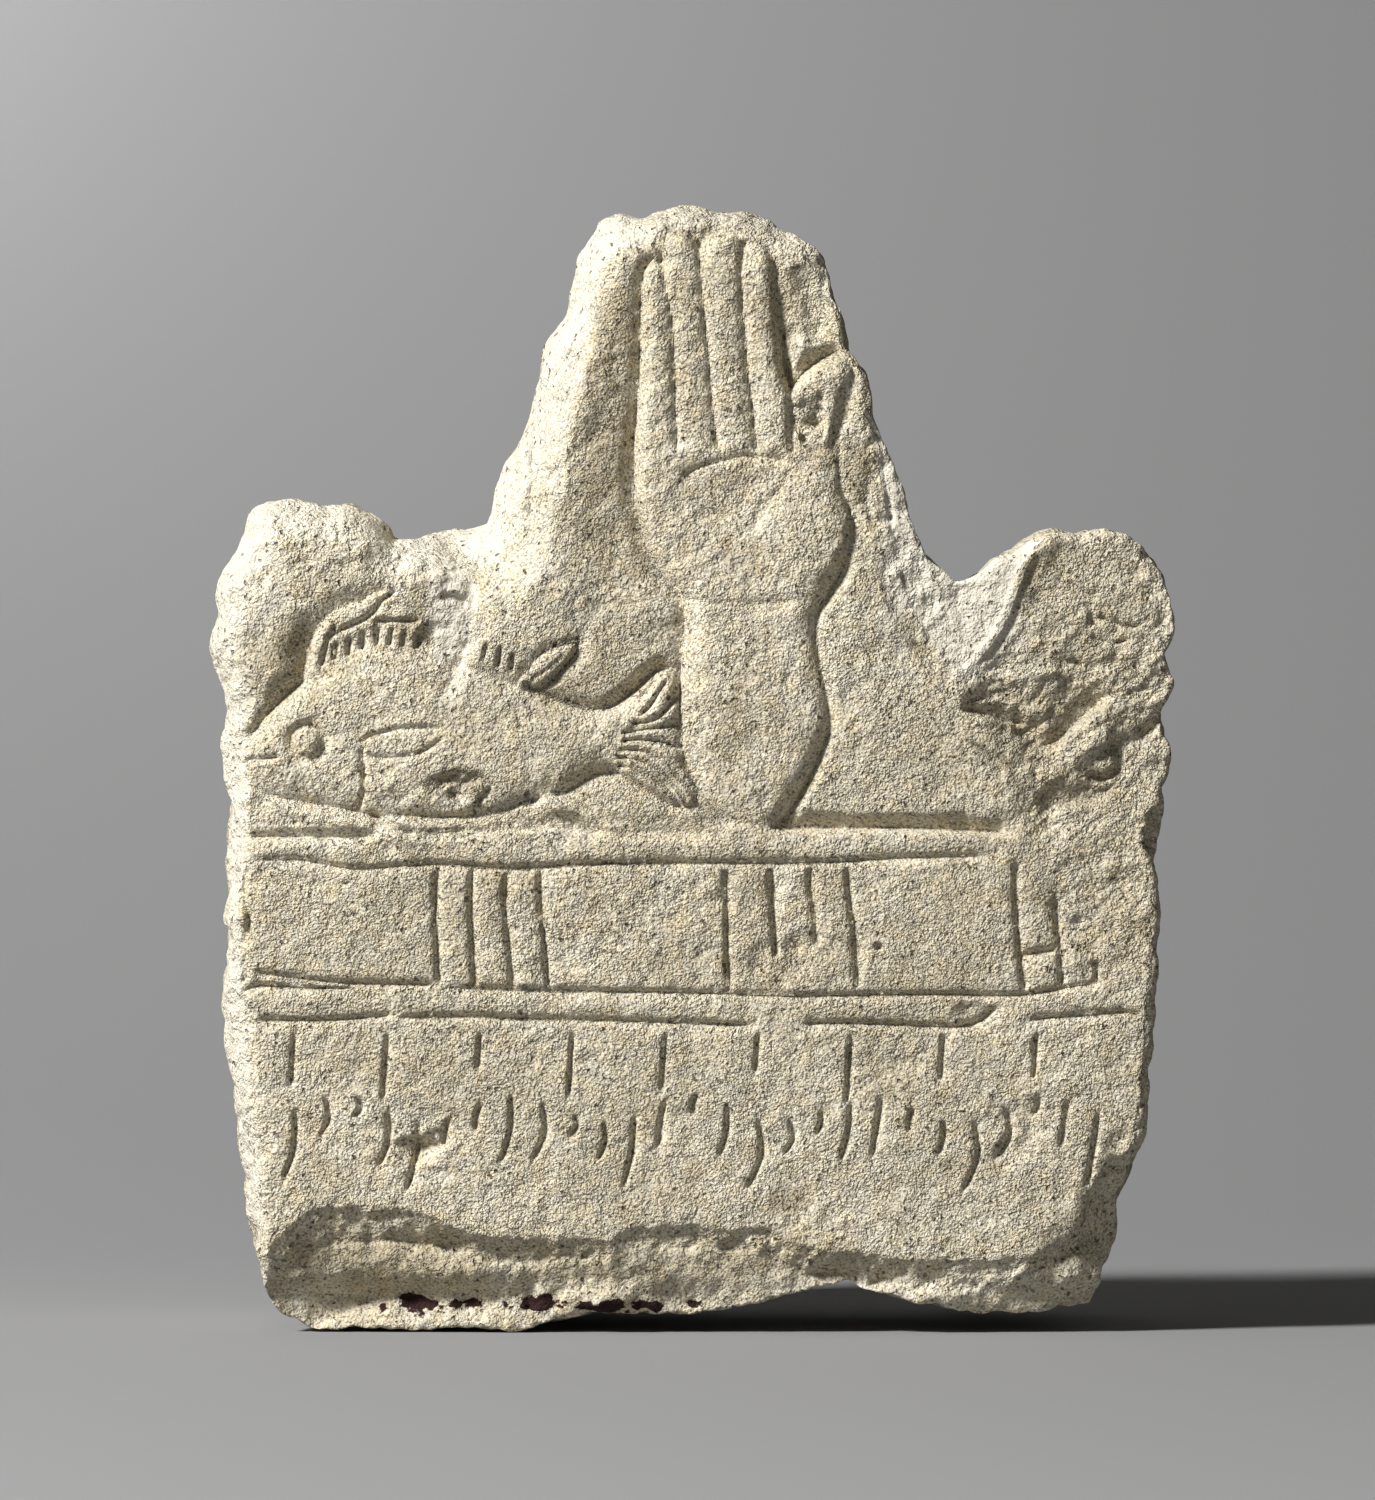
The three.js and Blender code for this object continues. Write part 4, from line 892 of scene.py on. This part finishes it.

# The limestone is cream-grey with a sandy grain, small pits painted dark with their shade, pale worn
# edges and ochre stains.
limestone = bpy.data.materials.new("limestone")
limestone.use_nodes = True
tree = limestone.node_tree
shader = tree.nodes["Principled BSDF"]
shader.inputs["Roughness"].default_value = 0.92
shader.inputs["Specular IOR Level"].default_value = 0.25
place = tree.nodes.new("ShaderNodeTexCoord")


def noise_node(scale, detail, roughness_value):
    """A noise texture on the object's own metres."""
    node = tree.nodes.new("ShaderNodeTexNoise")
    node.inputs["Scale"].default_value = scale
    node.inputs["Detail"].default_value = detail
    node.inputs["Roughness"].default_value = roughness_value
    tree.links.new(place.outputs["Object"], node.inputs["Vector"])
    return node


def ramp_node(source, stops):
    """A colour ramp over a value, with its stops as (place, colour)."""
    node = tree.nodes.new("ShaderNodeValToRGB")
    while len(node.color_ramp.elements) < len(stops):
        node.color_ramp.elements.new(0.5)
    for element, (at, colour) in zip(node.color_ramp.elements, stops):
        element.position = at
        element.color = (*colour, 1)
    tree.links.new(source, node.inputs["Fac"])
    return node


def mix_node(kind, factor, first, second):
    """A colour mix. Sockets are linked, numbers and colours are set."""
    node = tree.nodes.new("ShaderNodeMix")
    node.data_type = "RGBA"
    node.blend_type = kind
    for socket, value in ((node.inputs[0], factor), (node.inputs[6], first), (node.inputs[7], second)):
        if isinstance(value, bpy.types.NodeSocket):
            tree.links.new(value, socket)
        elif isinstance(value, tuple):
            socket.default_value = (*value, 1)
        else:
            socket.default_value = value
    return node.outputs[2]


def sum_node(first, weight, second):
    """first * weight + second."""
    node = tree.nodes.new("ShaderNodeMath")
    node.operation = "MULTIPLY_ADD"
    for socket, value in zip(node.inputs, (first, weight, second)):
        if isinstance(value, bpy.types.NodeSocket):
            tree.links.new(value, socket)
        else:
            socket.default_value = value
    return node.outputs[0]


def layer_node(name):
    """A value painted on the mesh."""
    node = tree.nodes.new("ShaderNodeAttribute")
    node.attribute_name = name
    return node.outputs["Fac"]


broad = noise_node(30, 5, 0.6)
body = ramp_node(broad.outputs["Fac"], [(0.3, (0.50, 0.444, 0.325)), (0.7, (0.65, 0.592, 0.462))])
patchy = noise_node(160, 4, 0.65)
# Brown dirt from the mesh layer and a patchy noise. The same layer also darkens the hollow in front of
# the dorsal fin, as painted shade.
dirt_and_shade_amount = sum_node(patchy.outputs["Fac"], 1.0, sum_node(layer_node("dirt_and_shade"), 0.55, -0.42))
dirt_and_shade_mask = ramp_node(dirt_and_shade_amount, [(0.08, (0, 0, 0)), (0.5, (0.7, 0.7, 0.7))])
colour = mix_node("MIX", dirt_and_shade_mask.outputs["Color"], body.outputs["Color"], (0.375, 0.32, 0.215))
tint = noise_node(330, 3, 0.7)
tint_mask = ramp_node(tint.outputs["Fac"], [(0.35, (0.95, 0.98, 1.04)), (0.52, (1, 1, 1)),
                                            (0.72, (1.04, 0.99, 0.88))])
colour = mix_node("MULTIPLY", 1.0, colour, tint_mask.outputs["Color"])
grain = noise_node(2200, 2, 0.6)
speck = ramp_node(grain.outputs["Fac"], [(0.31, (0.30, 0.27, 0.21)), (0.46, (0.94, 0.93, 0.91)),
                                         (0.68, (1.3, 1.3, 1.3))])
colour = mix_node("MULTIPLY", 1.0, colour, speck.outputs["Color"])
pale_amount = sum_node(patchy.outputs["Fac"], 0.9, sum_node(layer_node("pale"), 1.0, -0.6))
pale_mask = ramp_node(pale_amount, [(0.15, (0, 0, 0)), (0.75, (0.85, 0.85, 0.85))])
pale_speck = ramp_node(grain.outputs["Fac"], [(0.3, (0.53, 0.48, 0.375)), (0.5, (0.675, 0.632, 0.53))])
colour = mix_node("MIX", pale_mask.outputs["Color"], colour, pale_speck.outputs["Color"])
stain = noise_node(52, 6, 0.72)
stain_mask = ramp_node(stain.outputs["Fac"], [(0.66, (0, 0, 0)), (0.75, (0.8, 0.8, 0.8))])
colour = mix_node("MIX", stain_mask.outputs["Color"], colour, (0.40, 0.28, 0.13))

# Small pits: sparse dots of a bent cell pattern, sunk in the bump and painted dark as the shade inside
# them.
bend = noise_node(700, 2, 0.6)
bent = tree.nodes.new("ShaderNodeVectorMath")
bent.operation = "MULTIPLY_ADD"
bent.inputs[1].default_value = (0.0022, 0.0022, 0.0022)
tree.links.new(bend.outputs["Color"], bent.inputs[0])
tree.links.new(place.outputs["Object"], bent.inputs[2])
pits = tree.nodes.new("ShaderNodeTexVoronoi")
pits.inputs["Scale"].default_value = 850
tree.links.new(bent.outputs[0], pits.inputs["Vector"])
pit_hole = ramp_node(pits.outputs["Distance"], [(0.12, (1, 1, 1)), (0.34, (0, 0, 0))])
pit_split = tree.nodes.new("ShaderNodeSeparateColor")
tree.links.new(pits.outputs["Color"], pit_split.inputs["Color"])
pit_chosen = ramp_node(pit_split.outputs["Red"], [(0.68, (0, 0, 0)), (0.9, (1, 1, 1))])
pit_mask = tree.nodes.new("ShaderNodeMath")
pit_mask.operation = "MULTIPLY"
tree.links.new(pit_hole.outputs["Color"], pit_mask.inputs[0])
tree.links.new(pit_chosen.outputs["Color"], pit_mask.inputs[1])
# Painted shade: the pits take a near-black brown.
colour = mix_node("MIX", sum_node(pit_mask.outputs[0], 0.8, 0.0), colour, (0.15, 0.12, 0.08))

# Worn dabs of dark red paint in a row low on the front.
where = tree.nodes.new("ShaderNodeSeparateXYZ")
tree.links.new(place.outputs["Object"], where.inputs[0])
band = 1.0
for axis, low_end, high_end, edge in (("X", -0.047, 0.000, 0.009), ("Z", 0.0043, 0.0050, 0.0032),
                                      ("Y", -0.04, -0.02, 0.001)):
    for start, end in ((low_end - edge, low_end), (high_end + edge, high_end)):
        part = tree.nodes.new("ShaderNodeMapRange")
        part.inputs["From Min"].default_value = start
        part.inputs["From Max"].default_value = end
        tree.links.new(where.outputs[axis], part.inputs["Value"])
        band = sum_node(part.outputs[0], band, 0.0)
dabs = noise_node(190, 4, 0.55)
dab_mask = ramp_node(sum_node(band, 0.4, dabs.outputs["Fac"]), [(0.865, (0, 0, 0)), (0.885, (1, 1, 1))])
colour = mix_node("MIX", dab_mask.outputs["Color"], colour, (0.026, 0.010, 0.009))
tree.links.new(colour, shader.inputs["Base Color"])

# The grain: grains of sand over a rougher swell, stronger in patches, with the pits cut in.
fine = noise_node(3400, 1, 0.5)
sand = noise_node(2300, 1, 0.5)
swell = noise_node(360, 3, 0.55)
gain_noise = noise_node(85, 4, 0.65)
patch_gain = ramp_node(gain_noise.outputs["Fac"], [(0.36, (0.3, 0.3, 0.3)), (0.6, (1, 1, 1))])
grain_height = sum_node(sand.outputs["Fac"], 1.45, fine.outputs["Fac"])
grain_height = sum_node(grain_height, 0.45, 0.0)
grain_height = sum_node(grain_height, patch_gain.outputs["Color"], 0.0)
grain_height = sum_node(grain_height, layer_node("grain"), 0.0)
grain_height = sum_node(swell.outputs["Fac"], 1.1, grain_height)
grain_height = sum_node(pit_mask.outputs[0], -1.0, grain_height)

# Broken stone has sharp little chips: the distance to the seeds of a bent cell pattern.
chips = tree.nodes.new("ShaderNodeTexVoronoi")
chips.inputs["Scale"].default_value = 430
chips.inputs["Detail"].default_value = 2
chips.inputs["Roughness"].default_value = 0.6
tree.links.new(bent.outputs[0], chips.inputs["Vector"])
chip_gain = sum_node(layer_node("broken"), -0.9, 0.0)
grain_height = sum_node(chips.outputs["Distance"], chip_gain, grain_height)
bump = tree.nodes.new("ShaderNodeBump")
bump.inputs["Strength"].default_value = 1.0
bump.inputs["Distance"].default_value = 0.0011
tree.links.new(grain_height, bump.inputs["Height"])
tree.links.new(bump.outputs["Normal"], shader.inputs["Normal"])
made.materials.append(limestone)

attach(stone, "root")
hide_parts("stele")
